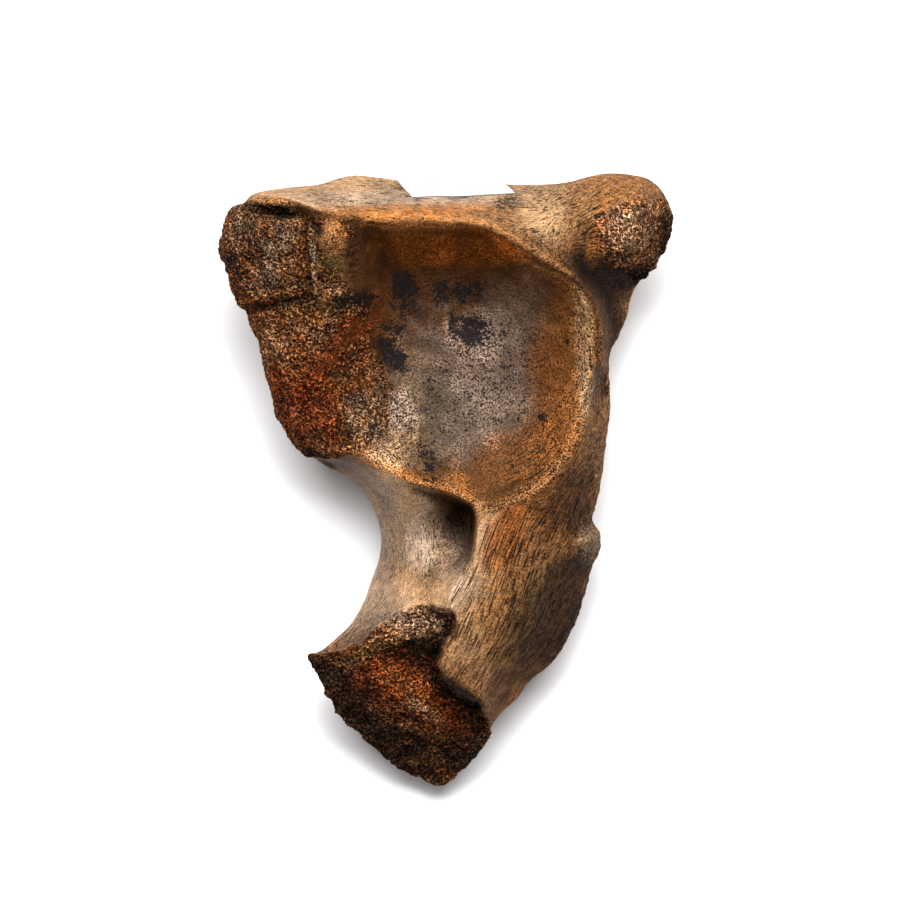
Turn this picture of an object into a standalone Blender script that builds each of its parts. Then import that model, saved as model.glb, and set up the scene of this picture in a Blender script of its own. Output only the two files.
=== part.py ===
"""Half of a woolly mammoth's first neck vertebra, the atlas, lying on its rear joint face.

The bone is modelled in its own frame: +Z up, the deep cup that held the skull facing up, and +Y towards the
wing. Landmarks are marks on a plan drawing, seen from straight above. Across the plan they are in drawing
units, with x to the right and y down, and heights are in millimetres above the surface that it lies on.
"""

import math

import bpy
import numpy as np
from mathutils import Vector
from mathutils.bvhtree import BVHTree
from mathutils.geometry import delaunay_2d_cdt

# Driving dimensions, in metres
BONE_LENGTH = 0.275
LABEL_WIDTH = 0.048
LABEL_HEIGHT = 0.026
LABEL_THICKNESS = 0.0003
LABEL_GAP = 0.0005

# The plan drawing: its length in drawing units, and the mark at the middle of the bone
PLAN_LENGTH = 611.0
PLAN_MIDDLE = (446.0, 480.5)
UNIT = BONE_LENGTH * 1000.0 / PLAN_LENGTH

# How the faceted solid is made, in millimetres. Points along a loop keep the first share of the spacing from
# others, and points across the plan keep the second.
MARK_SPACING = 2.6
LEAST_GAPS = (0.3, 0.7)
RIM_ROWS = (0.25, 0.9, 2.0)
VOXEL = 1.9
FLAT_CUT = 0.5
FACET_COUNT = 9000

# How surfaces meet, in millimetres: the least half thickness at the silhouette, and the roundings where the
# broken side cuts the cup and where a pad meets the hollow underside
LEAST_EDGE = 0.5
BREAK_ROUNDING = 1.0
PAD_ROUNDING = 6.0

# The flank turns up this near the cup's rim, and ends this far below it, in millimetres
FLANK_TURN = 3.2
FLANK_DROP = 1.0

# The outer side changes over to the wing between these heights on the drawing
WING_CHANGE = (440, 370)

# The cup is round at the first share of its radius, and has its rim's own shape from the second outwards
CUP_SHAPING = (0.1, 0.85)

# The silhouette: x, y, height of its edge, how far the rounding runs in on top, and underneath
OUTLINE = [
    (222, 240, 72, 8, 22), (221, 253, 69, 7, 22), (228, 268, 66, 7, 24), (234, 288, 63, 7, 26),
    (241, 304, 60, 6, 28), (248, 312, 58, 5, 28), (256, 334, 56, 7, 30), (264, 359, 53, 8, 30),
    (271, 388, 50, 8, 30), (279, 416, 46, 8, 28), (290, 437, 43, 8, 26), (300, 450, 41, 7, 24),
    (312, 457, 39, 7, 24), (327, 468, 35, 10, 24), (345, 476, 30, 16, 20), (360, 487, 25, 20, 16),
    (369, 501, 22, 22, 14), (377, 518, 20, 22, 12), (381, 537, 19, 22, 12), (380, 555, 19, 22, 12),
    (372, 580, 22, 22, 14), (362, 606, 27, 20, 16), (351, 624, 32, 16, 18), (337, 638, 38, 12, 20),
    (322, 650, 44, 8, 20), (309, 657, 48, 4, 20), (313, 667, 46, 5, 20), (321, 682, 41, 6, 20),
    (329, 699, 36, 7, 20), (341, 718, 31, 8, 18), (361, 737, 26, 8, 16), (385, 757, 21, 8, 14),
    (407, 774, 17, 8, 12), (424, 782, 15, 8, 10), (440, 787, 15, 8, 10), (454, 782, 16, 8, 12),
    (467, 767, 20, 8, 14), (480, 751, 25, 8, 16), (488, 741, 29, 8, 18), (491, 730, 32, 10, 18),
    (501, 714, 32, 16, 18), (517, 700, 30, 22, 18), (529, 683, 29, 26, 18), (549, 667, 28, 28, 18),
    (563, 648, 28, 28, 18), (576, 624, 28, 28, 20), (585, 598, 29, 26, 22), (591, 573, 32, 22, 24),
    (596, 560, 36, 14, 26), (601, 546, 39, 10, 28), (599, 531, 40, 10, 28), (593, 522, 39, 18, 28),
    (597, 502, 40, 22, 28), (602, 478, 42, 22, 30), (606, 446, 45, 18, 30), (610, 415, 48, 12, 30),
    (610, 384, 51, 8, 30), (610, 354, 50, 6, 28), (619, 337, 38, 6, 16), (628, 315, 37, 8, 14),
    (632, 298, 40, 10, 14), (638, 285, 44, 14, 16), (650, 273, 48, 16, 18), (662, 257, 52, 18, 20),
    (669, 241, 55, 18, 20), (672, 222, 56, 18, 20), (669, 205, 57, 18, 20), (661, 189, 58, 18, 20),
    (649, 179, 58, 18, 20), (633, 175, 57, 18, 20), (610, 173, 56, 18, 20), (590, 176, 55, 18, 22),
    (572, 181, 54, 18, 24), (548, 184, 53, 20, 28), (515, 184, 54, 22, 30), (480, 182, 56, 22, 32),
    (440, 180, 58, 22, 34), (400, 180, 60, 20, 36), (376, 177, 61, 18, 36), (355, 175, 62, 16, 36),
    (338, 179, 65, 13, 34), (322, 184, 69, 11, 32), (295, 187, 75, 9, 28), (268, 191, 80, 7, 26),
    (252, 196, 82, 5, 24), (245, 204, 82, 5, 24), (234, 208, 80, 6, 24), (228, 218, 76, 7, 24),
]

# Loops round the three areas that lie apart from the outer side: x, y, half width of the change of height
TABLE_LOOP = [
    (216, 222, 1.0), (226, 214, 1.0), (236, 207, 1.0), (250, 199, 1.0), (275, 198, 1.0), (300, 204, 1.0),
    (320, 213, 1.4), (345, 221, 2.8), (385, 225, 3.6), (430, 225, 3.8), (475, 228, 3.6), (510, 243, 3.0),
    (545, 264, 2.4), (575, 283, 2.0), (592, 305, 2.0), (599, 332, 2.4), (600, 365, 3.2), (592, 405, 5.0),
    (578, 445, 8.0), (552, 482, 9.0), (515, 505, 9.0), (484, 512, 4.0), (470, 506, 1.6), (455, 498, 1.6),
    (440, 493, 1.6), (420, 487, 1.8), (400, 478, 2.4), (372, 468, 3.5), (350, 461, 4.0), (330, 459, 3.0),
    (308, 458, 2.0), (280, 470, 2.0), (240, 400, 2.0), (210, 300, 2.0), (200, 240, 2.0),
]
CANAL_LOOP = [
    (455, 480, 1.5), (470, 500, 1.5), (474, 514, 1.5), (474, 535, 1.6), (471, 553, 2.0), (463, 571, 5.0),
    (453, 585, 7.0), (448, 600, 6.0), (452, 612, 3.0), (444, 621, 2.0), (424, 621, 2.0), (405, 628, 2.0),
    (387, 640, 2.0), (369, 655, 2.0), (350, 665, 2.0), (325, 668, 2.0), (296, 670, 2.0), (270, 650, 2.0),
    (330, 560, 2.0), (290, 470, 2.0), (310, 440, 2.0), (380, 440, 2.0),
]
BROKEN_END_LOOP = [
    (290, 658, 0.8), (325, 653, 0.8), (345, 650, 0.8), (362, 640, 0.8), (380, 625, 0.8), (400, 613, 0.8),
    (420, 606, 0.8), (438, 606, 0.8), (455, 614, 1.0), (455, 628, 1.2), (446, 642, 1.4), (440, 658, 1.6),
    (443, 676, 1.6), (456, 691, 1.5), (477, 701, 1.4), (487, 716, 1.2), (491, 733, 1.2), (510, 745, 2.0),
    (500, 800, 2.0), (400, 830, 2.0), (290, 740, 2.0),
]

# The rim of the cup, whole as it was before its left side broke away: x, y, height, steepness of the wall
CUP_RIM = [
    (364, 221, 118, 3.2), (390, 221, 118, 3.4), (430, 220, 117, 3.5), (475, 222, 115, 3.6),
    (510, 240, 112, 3.4), (545, 262, 109, 3.0), (575, 280, 106, 2.7), (592, 302, 104, 2.5),
    (600, 330, 102, 2.4), (600, 365, 100, 2.4), (592, 405, 97, 2.4), (578, 445, 93, 2.4),
    (552, 482, 89, 2.4), (515, 505, 88, 2.6), (482, 510, 88, 3.0), (455, 497, 88, 3.2),
    (420, 488, 88, 3.2), (390, 478, 88, 3.0), (350, 465, 90, 2.6), (318, 440, 95, 2.4),
    (300, 400, 100, 2.4), (302, 350, 106, 2.4), (322, 302, 110, 2.6), (348, 268, 114, 3.0),
    (357, 242, 117, 3.2),
]
CUP_MIDDLE = (462, 368)
CUP_FLOOR = 62.0

# Heights along the upper edge of the table: x, y, height
UPPER_EDGE = [
    (220, 222, 88), (236, 207, 98), (250, 199, 104), (275, 198, 110), (300, 204, 114), (320, 213, 117),
    (345, 221, 119), (385, 223, 119), (430, 223, 117), (475, 226, 115), (510, 242, 112), (545, 262, 109),
    (575, 280, 106), (592, 302, 104), (600, 330, 102), (602, 365, 99),
]

# Height marks of each surface: x, y, height
BROKEN_SIDE = [
    (228, 225, 90), (222, 255, 84), (260, 225, 103), (300, 222, 109), (240, 290, 80), (318, 290, 97),
    (300, 255, 104), (335, 235, 112), (262, 340, 76), (300, 330, 87), (345, 320, 88), (380, 345, 70),
    (345, 365, 77), (405, 392, 66.5), (300, 380, 79), (285, 425, 60), (320, 430, 70), (350, 420, 76),
    (385, 420, 74), (415, 450, 80), (400, 474, 86), (360, 460, 80), (330, 455, 68), (430, 478, 84),
    (310, 452, 58),
]
WING_SIDE = [
    (250, 190, 92), (300, 192, 96), (345, 190, 92), (345, 212, 114), (400, 190, 88), (400, 212, 112),
    (460, 190, 84), (460, 212, 106), (500, 225, 106), (500, 195, 88), (530, 245, 104), (540, 215, 96),
    (540, 190, 84), (560, 262, 98), (575, 235, 90), (570, 205, 86), (588, 258, 82), (594, 280, 70),
    (602, 300, 58), (620, 282, 56), (630, 285, 50), (608, 325, 48), (622, 310, 45), (612, 345, 42),
    (600, 240, 84), (605, 205, 88), (640, 200, 88), (655, 225, 80), (640, 250, 82), (618, 258, 80),
    (640, 268, 62), (660, 255, 58),
]
OUTER_SIDE = [
    (480, 512, 89), (479, 530, 89), (477, 550, 89), (470, 575, 88), (461, 592, 87), (458, 615, 85),
    (450, 640, 83), (447, 665, 80), (460, 686, 75), (484, 706, 66), (520, 520, 86), (560, 500, 80),
    (590, 480, 72), (510, 570, 82), (545, 560, 74), (580, 560, 60), (595, 540, 58), (500, 620, 78),
    (530, 610, 68), (560, 610, 52), (485, 660, 74), (510, 670, 60), (540, 650, 50), (500, 700, 48),
    (600, 440, 78), (605, 400, 84), (492, 725, 42), (603, 350, 92), (575, 440, 92), (545, 480, 89),
    (510, 505, 88),
]
CANAL_WALL = [
    (335, 466, 40), (350, 472, 58), (370, 478, 74), (390, 486, 78), (410, 492, 76), (430, 498, 68),
    (450, 506, 52), (462, 514, 38), (375, 500, 58), (400, 512, 66), (425, 520, 60), (450, 530, 45),
    (468, 540, 46), (462, 560, 64), (390, 540, 50), (412, 545, 57), (430, 548, 56), (450, 565, 65),
    (430, 575, 63), (448, 586, 79), (400, 585, 60), (375, 560, 38), (385, 620, 60), (425, 602, 73),
    (445, 603, 84), (350, 640, 50), (320, 655, 48), (405, 610, 68),
]
BROKEN_END = [
    (309, 658, 47), (345, 655, 54), (365, 645, 60), (385, 630, 64), (405, 620, 67), (430, 612, 69),
    (450, 622, 68), (400, 640, 64), (440, 634, 66), (400, 652, 56), (436, 650, 56), (340, 690, 42),
    (400, 690, 48), (436, 690, 46), (480, 715, 38), (370, 735, 31), (420, 740, 32), (470, 745, 30),
    (440, 780, 18), (400, 765, 22),
]
UNDERSIDE = [
    (300, 250, 30), (255, 300, 36), (350, 230, 22), (430, 215, 22), (500, 225, 24), (560, 235, 30),
    (628, 222, 38), (605, 290, 30), (560, 300, 18), (350, 300, 12), (450, 300, 10), (520, 340, 12),
    (320, 370, 16), (400, 400, 10), (470, 430, 11), (540, 430, 14), (580, 400, 20), (320, 430, 20),
    (400, 470, 15), (470, 500, 13), (550, 500, 15), (430, 550, 12), (500, 560, 11), (560, 570, 16),
    (400, 610, 12), (480, 620, 9), (530, 640, 12), (350, 660, 22), (400, 700, 9), (450, 700, 7),
    (440, 760, 5), (480, 730, 10),
]

# Worn flat pads that it lies on: x, y, half length, half width, turn in radians
PADS = [(432, 338, 98, 74, -0.25), (462, 668, 34, 22, 0.9)]
PAD_SLOPE = 0.75

# Lumps and hollows: x, y, half length, half width, turn in radians, height. A lump on the broken side also
# raises the cup's wall beside it, by this share of its height.
LUMP_SHARE = 0.8
TABLE_LUMPS = [(335, 238, 22, 20, 0.0, 8.0), (336, 268, 13, 20, 0.1, 3.5)]
TABLE_HOLLOWS = [(288, 216, 28, 5.5, -0.12, -9.0)]
CUP_PITS = [(454, 322, 5, 14, 0.2, -2.2), (474, 330, 9, 15, 0.0, -2.0)]
END_LUMPS = [(408, 700, 60, 17, -0.62, 4.5), (345, 712, 26, 14, -0.9, -2.0)]
OUTER_LUMPS = [(590, 542, 11, 15, 0.0, 7.0)]

# Cracks across the broken side: their run in plan, their depth and half width in millimetres
CRACKS = [
    ([(238, 312), (262, 308), (285, 302), (312, 296)], 5.0, 1.4),
    ([(300, 212), (312, 222), (320, 233), (313, 246), (314, 262), (319, 277), (336, 294)], 3.0, 1.3),
]

# The paper label: the mark that its middle lies over, and how it is turned on the flank
LABEL_MIDDLE = (456, 188)
LABEL_TURN = math.radians(16.0)
LABEL_LEAN = math.radians(62.0)
LABEL_STEP = 0.0024

# Plain colours
BONE_BROWN = (0.30, 0.15, 0.065, 1.0)
PAPER_WHITE = (0.80, 0.80, 0.78, 1.0)


def plan(marks):
    """Turn plan marks into an array in millimetres, with +Y up the drawing and the rest as it is."""
    table = np.array(marks, float)
    table[:, 0] = (table[:, 0] - PLAN_MIDDLE[0]) * UNIT
    table[:, 1] = (PLAN_MIDDLE[1] - table[:, 1]) * UNIT
    return table


def smoothstep(low, high, value):
    """0 below low, 1 above high, and a smooth step between."""
    share = np.clip((value - low) / (high - low), 0.0, 1.0)
    return share * share * (3.0 - 2.0 * share)


def smooth_min(first, second, width):
    """The lower of two surfaces, with their crossing rounded over the width."""
    share = np.clip(0.5 + 0.5 * (second - first) / width, 0.0, 1.0)
    return second + (first - second) * share - width * share * (1.0 - share)


def curve_through(marks, per_span, closed):
    """Points on a smooth curve through the marks, centripetal so that it can't loop at a corner."""
    count = len(marks)
    points = []
    for i in range(count if closed else count - 1):
        before, start, end, after = (marks[(i + step) % count] for step in (-1, 0, 1, 2))
        if not closed and i == 0:
            before = 2 * start - end
        if not closed and i == count - 2:
            after = 2 * end - start
        gaps = [
            max(np.linalg.norm((b - a)[:2]), 1e-6) ** 0.5
            for a, b in ((before, start), (start, end), (end, after))
        ]
        chord = (end - start) / gaps[1]
        leave = gaps[1] * ((start - before) / gaps[0] - (end - before) / (gaps[0] + gaps[1]) + chord)
        arrive = gaps[1] * (chord - (after - start) / (gaps[1] + gaps[2]) + (after - end) / gaps[2])
        for t in np.arange(per_span) / per_span:
            points.append(
                (2 * t**3 - 3 * t**2 + 1) * start
                + (t**3 - 2 * t**2 + t) * leave
                + (3 * t**2 - 2 * t**3) * end
                + (t**3 - t**2) * arrive
            )
    if not closed:
        points.append(marks[-1])
    return np.array(points)


def nearest_on(line, places, closed):
    """Distance from each place to a line, and the line's own values at the nearest point."""
    ends = np.roll(line, -1, axis=0) if closed else line[1:]
    distance = np.full(len(places), 1e9)
    values = np.zeros((len(places), line.shape[1] - 2))
    for start, end in zip(line, ends):
        run = end[:2] - start[:2]
        along = np.clip(((places - start[:2]) @ run) / max(run @ run, 1e-12), 0.0, 1.0)
        away = np.hypot(*(places - start[:2] - along[:, None] * run).T)
        closer = away < distance
        distance[closer] = away[closer]
        values[closer] = start[2:] + along[closer, None] * (end - start)[2:]
    return distance, values


def inside(line, places):
    """Which places lie inside a closed line."""
    x, y = places.T
    odd = np.zeros(len(places), bool)
    for (x1, y1), (x2, y2) in zip(line[:, :2], np.roll(line[:, :2], -1, axis=0)):
        if y1 != y2:
            crosses = (y1 > y) != (y2 > y)
            odd ^= crosses & (x < x1 + (y - y1) / (y2 - y1) * (x2 - x1))
    return odd


def sheet(marks, places):
    """Heights of a thin springy sheet that passes through the height marks."""
    posts = plan(marks)
    scale = np.ptp(posts[:, :2])
    at = posts[:, :2] / scale

    def pull(spots):
        squares = ((spots[:, None] - at[None]) ** 2).sum(axis=2)
        return 0.5 * squares * np.log(np.maximum(squares, 1e-12))

    lean = np.c_[np.ones(len(at)), at]
    system = np.block([[pull(at) + 1e-4 * np.eye(len(at)), lean], [lean.T, np.zeros((3, 3))]])
    weights = np.linalg.solve(system, np.r_[posts[:, 2], np.zeros(3)])
    spots = places / scale
    return pull(spots) @ weights[:-3] + np.c_[np.ones(len(spots)), spots] @ weights[-3:]


def swell(lumps, places):
    """The sum of round lumps, or hollows where their height is below nothing."""
    total = np.zeros(len(places))
    for x, y, long_half, wide_half, turn, height in lumps:
        away = places - plan([(x, y)])[0]
        along = (away[:, 0] * math.cos(turn) + away[:, 1] * math.sin(turn)) / (long_half * UNIT)
        across = (away[:, 1] * math.cos(turn) - away[:, 0] * math.sin(turn)) / (wide_half * UNIT)
        total += height * np.exp(-(along**2 + across**2))
    return total


def lay(base, over, loop, places):
    """Lay one surface over another inside a loop, changing over across the loop's own width."""
    line = curve_through(plan(loop), 5, True)
    distance, values = nearest_on(line, places, True)
    depth = np.where(inside(line, places), distance, -distance)
    return base + (over - base) * smoothstep(-1.0, 1.0, depth / values[:, 0])


def cup_surface(places):
    """The joint cup: a floor, and walls that climb to the rim by their own steepness all round."""
    rim = curve_through(plan(CUP_RIM), 6, True)
    middle = plan([CUP_MIDDLE])[0]
    spokes = rim[:, :2] - middle
    bearings = np.arctan2(spokes[:, 1], spokes[:, 0])
    order = np.argsort(bearings)
    reach = np.hypot(*spokes.T)[order]
    ring = np.r_[bearings[order][-1] - 2 * math.pi, bearings[order], bearings[order][0] + 2 * math.pi]

    away = places - middle
    bearing = np.arctan2(away[:, 1], away[:, 0])

    def round_rim(values):
        return np.interp(bearing, ring, np.r_[values[-1], values, values[0]])

    plain = np.hypot(*away.T) / reach.mean()
    radius = reach.mean() + (round_rim(reach) - reach.mean()) * smoothstep(*CUP_SHAPING, plain)
    share = np.clip(np.hypot(*away.T) / radius, 0.0, 1.5)
    return CUP_FLOOR + (round_rim(rim[order, 2]) - CUP_FLOOR) * share ** round_rim(rim[order, 3])


def table_surface(places):
    """The upper face: the cup, cut into on its left by the broken side."""
    cup = cup_surface(places) + swell(CUP_PITS, places) + LUMP_SHARE * swell(TABLE_LUMPS, places)
    broken = sheet(BROKEN_SIDE, places) + swell(TABLE_LUMPS, places) + swell(TABLE_HOLLOWS, places)
    for run, depth, half_width in CRACKS:
        distance, _ = nearest_on(curve_through(plan(run), 6, False), places, False)
        broken -= depth * np.exp(-((distance / half_width) ** 2))
    return smooth_min(cup, broken, BREAK_ROUNDING)


def wing_surface(places):
    """The side above the cup, drawn out into the wing, and lifted to meet the cup's rim."""
    side = sheet(WING_SIDE, places)
    distance, heights = nearest_on(curve_through(plan(UPPER_EDGE), 5, False), places, False)
    return side + (heights[:, 0] - FLANK_DROP - side) * np.exp(-((distance / FLANK_TURN) ** 2))


def top_surface(places):
    """Height of the bone's upper surface."""
    outer = sheet(OUTER_SIDE, places) + swell(OUTER_LUMPS, places)
    lower, upper = plan([(0, mark) for mark in WING_CHANGE])[:, 1]
    height = outer + (wing_surface(places) - outer) * smoothstep(lower, upper, places[:, 1])
    height = lay(height, sheet(CANAL_WALL, places), CANAL_LOOP, places)
    height = lay(height, sheet(BROKEN_END, places) + swell(END_LUMPS, places), BROKEN_END_LOOP, places)
    return lay(height, table_surface(places), TABLE_LOOP, places)


def under_surface(places):
    """Height of the bone's lower surface: hollow between the pads, and flat on them."""
    height = sheet(UNDERSIDE, places)
    for x, y, long_half, wide_half, turn in PADS:
        away = (places - plan([(x, y)])[0]) / UNIT
        along = (away[:, 0] * math.cos(turn) + away[:, 1] * math.sin(turn)) / long_half
        across = (away[:, 1] * math.cos(turn) - away[:, 0] * math.sin(turn)) / wide_half
        beyond = np.maximum(np.hypot(along, across) - 1.0, 0.0) * math.sqrt(long_half * wide_half) * UNIT
        height = smooth_min(height, PAD_SLOPE * beyond, PAD_ROUNDING)
    return np.maximum(height, 0.0)


def rounding(share):
    """A quarter circle's rise, from 0 at the silhouette to 1 where the rounding ends."""
    return np.sqrt(1.0 - (1.0 - np.clip(share, 0.0, 1.0)) ** 2)


def rows_along(loop):
    """Places along both sides of a loop, so that the plate's edges follow the change of height."""
    line = curve_through(plan(loop), 8, True)
    run = np.roll(line, -1, axis=0) - np.roll(line, 1, axis=0)
    sideways = np.c_[-run[:, 1], run[:, 0]] / np.hypot(run[:, 0], run[:, 1])[:, None]
    return np.vstack([line[:, :2] + share * line[:, 2:3] * sideways for share in (-1.0, -0.3, 0.3, 1.0)])


def rows_inside(rim):
    """Places in a few rows just inside the silhouette, where the rounding is steepest."""
    run = np.roll(rim, -1, axis=0) - np.roll(rim, 1, axis=0)
    inward = np.c_[-run[:, 1], run[:, 0]] / np.hypot(run[:, 0], run[:, 1])[:, None]
    first = rim[0, :2] + RIM_ROWS[0] * inward[0]
    if not inside(rim, first[None])[0]:
        inward = -inward
    return np.vstack([rim[:, :2] + depth * inward for depth in RIM_ROWS])


def rows_across(rim):
    """Places in rows across the plan, every second row shifted by half."""
    row_gap = MARK_SPACING * math.sqrt(0.75)
    low, high = rim[:, :2].min(axis=0), rim[:, :2].max(axis=0)
    rows = np.arange(low[1], high[1], row_gap)
    return np.array([
        (x, y)
        for row, y in enumerate(rows)
        for x in np.arange(low[0] + (row % 2) * MARK_SPACING / 2, high[0], MARK_SPACING)
    ])


def keep_apart(places, gaps):
    """Keep the places, in order, that have no kept place nearer than their gap."""
    cell = max(gaps)
    kept = {}
    chosen = []
    for place, gap in zip(places, gaps):
        column, row = math.floor(place[0] / cell), math.floor(place[1] / cell)
        near = [
            other
            for i in (column - 1, column, column + 1)
            for j in (row - 1, row, row + 1)
            for other in kept.get((i, j), ())
        ]
        if all(math.dist(place, other) > gap for other in near):
            kept.setdefault((column, row), []).append(place)
            chosen.append(place)
    return np.array(chosen)


def plate_places(rim):
    """Places for the plate's inner points: by the silhouette, along the loops, and across the plan."""
    border = rows_inside(rim)
    along = np.vstack([rows_along(loop) for loop in (TABLE_LOOP, CANAL_LOOP, BROKEN_END_LOOP)])
    across = rows_across(rim)
    along_gap, across_gap = (share * MARK_SPACING for share in LEAST_GAPS)
    gaps = [0.0] * len(border) + [along_gap] * len(along) + [across_gap] * len(across)
    places = keep_apart(np.vstack([border, along, across]), gaps)
    distance, _ = nearest_on(rim, places, True)
    return places[inside(rim, places) & (distance > 0.6 * RIM_ROWS[0])]


def bone_plate():
    """The bone as two surfaces joined at the silhouette: its points in millimetres, and its faces."""
    rim = curve_through(plan(OUTLINE), 4, True)
    inner = plate_places(rim)
    places = np.vstack([rim[:, :2], inner])
    edges = [(i, (i + 1) % len(rim)) for i in range(len(rim))]
    spots, _, faces, _, _, _ = delaunay_2d_cdt([Vector(p) for p in places], edges, [], 1, 1e-6)
    places = np.array(spots)
    distance, values = nearest_on(rim, places, True)
    distance[: len(rim)] = 0.0
    edge, top_round, under_round = values.T
    top = np.maximum(top_surface(places), edge + LEAST_EDGE)
    under = np.minimum(under_surface(places), edge - LEAST_EDGE)
    top = edge + (top - edge) * rounding(distance / top_round)
    under = edge - (edge - under) * rounding(distance / under_round)

    count = len(rim)
    lower_index = {i: i if i < count else len(places) + i - count for i in range(len(places))}
    points = np.vstack([np.c_[places, top], np.c_[places, under][count:]])
    upper_faces = [tuple(face) for face in faces]
    lower_faces = [tuple(lower_index[i] for i in reversed(face)) for face in upper_faces]
    return points, upper_faces + lower_faces


def plain_material(name, colour, roughness):
    """A material with the part's own colour and roughness."""
    material = bpy.data.materials.new(name)
    material.use_nodes = True
    shader = material.node_tree.nodes["Principled BSDF"]
    shader.inputs["Base Color"].default_value = colour
    shader.inputs["Roughness"].default_value = roughness
    shader.inputs["Metallic"].default_value = 0.0
    return material


def add_object(name, points, faces, material):
    """An object of the given points, in metres, and faces."""
    mesh = bpy.data.meshes.new(name)
    mesh.from_pydata([tuple(p) for p in points], [], faces)
    mesh.materials.append(material)
    thing = bpy.data.objects.new(name, mesh)
    bpy.context.collection.objects.link(thing)
    return thing


def settled_mesh(thing):
    """The object's mesh with its modifiers worked in."""
    bpy.context.view_layer.update()
    graph = bpy.context.evaluated_depsgraph_get()
    return bpy.data.meshes.new_from_object(thing.evaluated_get(graph), depsgraph=graph)


def build_bone():
    """The whole bone, as one faceted solid that stands on its worn flat joint face."""
    points, faces = bone_plate()
    material = plain_material("bone_brown", BONE_BROWN, 0.75)
    thing = add_object("bone", points / 1000.0, faces, material)

    remesh = thing.modifiers.new("even_skin", "REMESH")
    remesh.mode = "VOXEL"
    remesh.voxel_size = VOXEL / 1000.0
    soften = thing.modifiers.new("soften", "SMOOTH")
    soften.factor = 0.5
    soften.iterations = 2
    thin = thing.modifiers.new("facets", "DECIMATE")
    full = settled_mesh(thing)
    thin.ratio = FACET_COUNT / sum(len(face.vertices) - 2 for face in full.polygons)
    bpy.data.meshes.remove(full)

    mesh = settled_mesh(thing)
    thing.modifiers.clear()
    thing.data = mesh
    heights = [vertex.co.z for vertex in mesh.vertices]
    floor = min(heights) + FLAT_CUT / 1000.0
    for vertex in mesh.vertices:
        vertex.co.z = max(vertex.co.z, floor)
    low = Vector(min(v.co[axis] for v in mesh.vertices) for axis in range(3))
    high = Vector(max(v.co[axis] for v in mesh.vertices) for axis in range(3))
    shift = Vector((-(low.x + high.x) / 2, -(low.y + high.y) / 2, -low.z))
    for vertex in mesh.vertices:
        vertex.co += shift
    mesh.shade_smooth()
    return thing, shift


def build_label(bone, shift):
    """The blank paper label, pressed on to the flank of the bone with a small gap."""
    tree = BVHTree.FromPolygons(
        [v.co for v in bone.data.vertices], [tuple(f.vertices) for f in bone.data.polygons]
    )
    outward = Vector((0.0, math.sin(LABEL_LEAN), math.cos(LABEL_LEAN)))
    across = Vector((1.0, 0.0, 0.0))
    down = outward.cross(across)
    wide = across * math.cos(LABEL_TURN) + down * math.sin(LABEL_TURN)
    tall = down * math.cos(LABEL_TURN) - across * math.sin(LABEL_TURN)
    x, y = plan([LABEL_MIDDLE])[0] / 1000.0
    start = tree.ray_cast(Vector((x + shift.x, y + shift.y, 1.0)), Vector((0, 0, -1)))[0]

    columns = round(LABEL_WIDTH / LABEL_STEP)
    rows = round(LABEL_HEIGHT / LABEL_STEP)
    points = []
    for lift in (LABEL_GAP, LABEL_GAP + LABEL_THICKNESS):
        for row in range(rows + 1):
            for column in range(columns + 1):
                offset = wide * (column / columns - 0.5) * LABEL_WIDTH
                offset += tall * (row / rows - 0.5) * LABEL_HEIGHT
                hit = tree.ray_cast(start + offset + outward * 0.05, -outward)[0]
                points.append(hit + outward * lift)

    width = columns + 1
    layer = width * (rows + 1)
    faces = []
    for row in range(rows):
        for column in range(columns):
            a = row * width + column
            ring = (a, a + 1, a + 1 + width, a + width)
            faces.append(tuple(i + layer for i in ring))
            faces.append(tuple(reversed(ring)))
    border = list(range(columns))
    border += [columns + row * width for row in range(rows)]
    border += [rows * width + column for column in range(columns, 0, -1)]
    border += [row * width for row in range(rows, 0, -1)]
    for start_index, end_index in zip(border, border[1:] + border[:1]):
        faces.append((start_index, end_index, end_index + layer, start_index + layer))
    return add_object("label", points, faces, plain_material("paper_white", PAPER_WHITE, 0.6))


def main():
    """Build the bone and its label."""
    for thing in list(bpy.data.objects):
        bpy.data.objects.remove(thing)
    bone, shift = build_bone()
    build_label(bone, shift)


main()
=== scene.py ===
"""Looks of a broken mammoth neck vertebra that lies with its joint cup up.

The bone's skin is modelled from the same plan drawing as its solid: landmarks seen from straight above, in
drawing units across the plan and millimetres in height. Fine detail is then pressed into that skin, and its
colours are painted on from a list of stains and of painted shade, shadow and highlight. A paper label is
pressed on to the flank.
"""

import logging
import math
from dataclasses import dataclass, field
from enum import Enum
from typing import Sequence

import bmesh
import bpy
import numpy as np
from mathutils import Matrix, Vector
from mathutils.bvhtree import BVHTree
from mathutils.geometry import delaunay_2d_cdt


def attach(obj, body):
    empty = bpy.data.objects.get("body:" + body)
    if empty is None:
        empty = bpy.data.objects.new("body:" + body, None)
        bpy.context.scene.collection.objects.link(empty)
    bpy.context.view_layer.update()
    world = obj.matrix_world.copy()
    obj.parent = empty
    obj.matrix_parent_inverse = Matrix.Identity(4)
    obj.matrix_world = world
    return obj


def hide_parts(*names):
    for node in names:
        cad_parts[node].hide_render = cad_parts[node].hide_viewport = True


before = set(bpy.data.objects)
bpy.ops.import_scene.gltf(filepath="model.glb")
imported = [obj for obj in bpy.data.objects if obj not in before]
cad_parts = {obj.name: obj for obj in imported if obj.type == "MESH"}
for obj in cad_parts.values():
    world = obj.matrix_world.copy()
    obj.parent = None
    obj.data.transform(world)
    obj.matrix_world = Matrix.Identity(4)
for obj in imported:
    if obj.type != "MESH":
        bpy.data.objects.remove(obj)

LOG = logging.getLogger("mammoth_bone")
MM = 0.001
CLOSE = 1e-6  # Millimetres within which two points count as one
TINY = 1e-12  # Keeps a division or a logarithm away from nothing
FAR = 1e9  # Farther than anything on the plan
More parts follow.
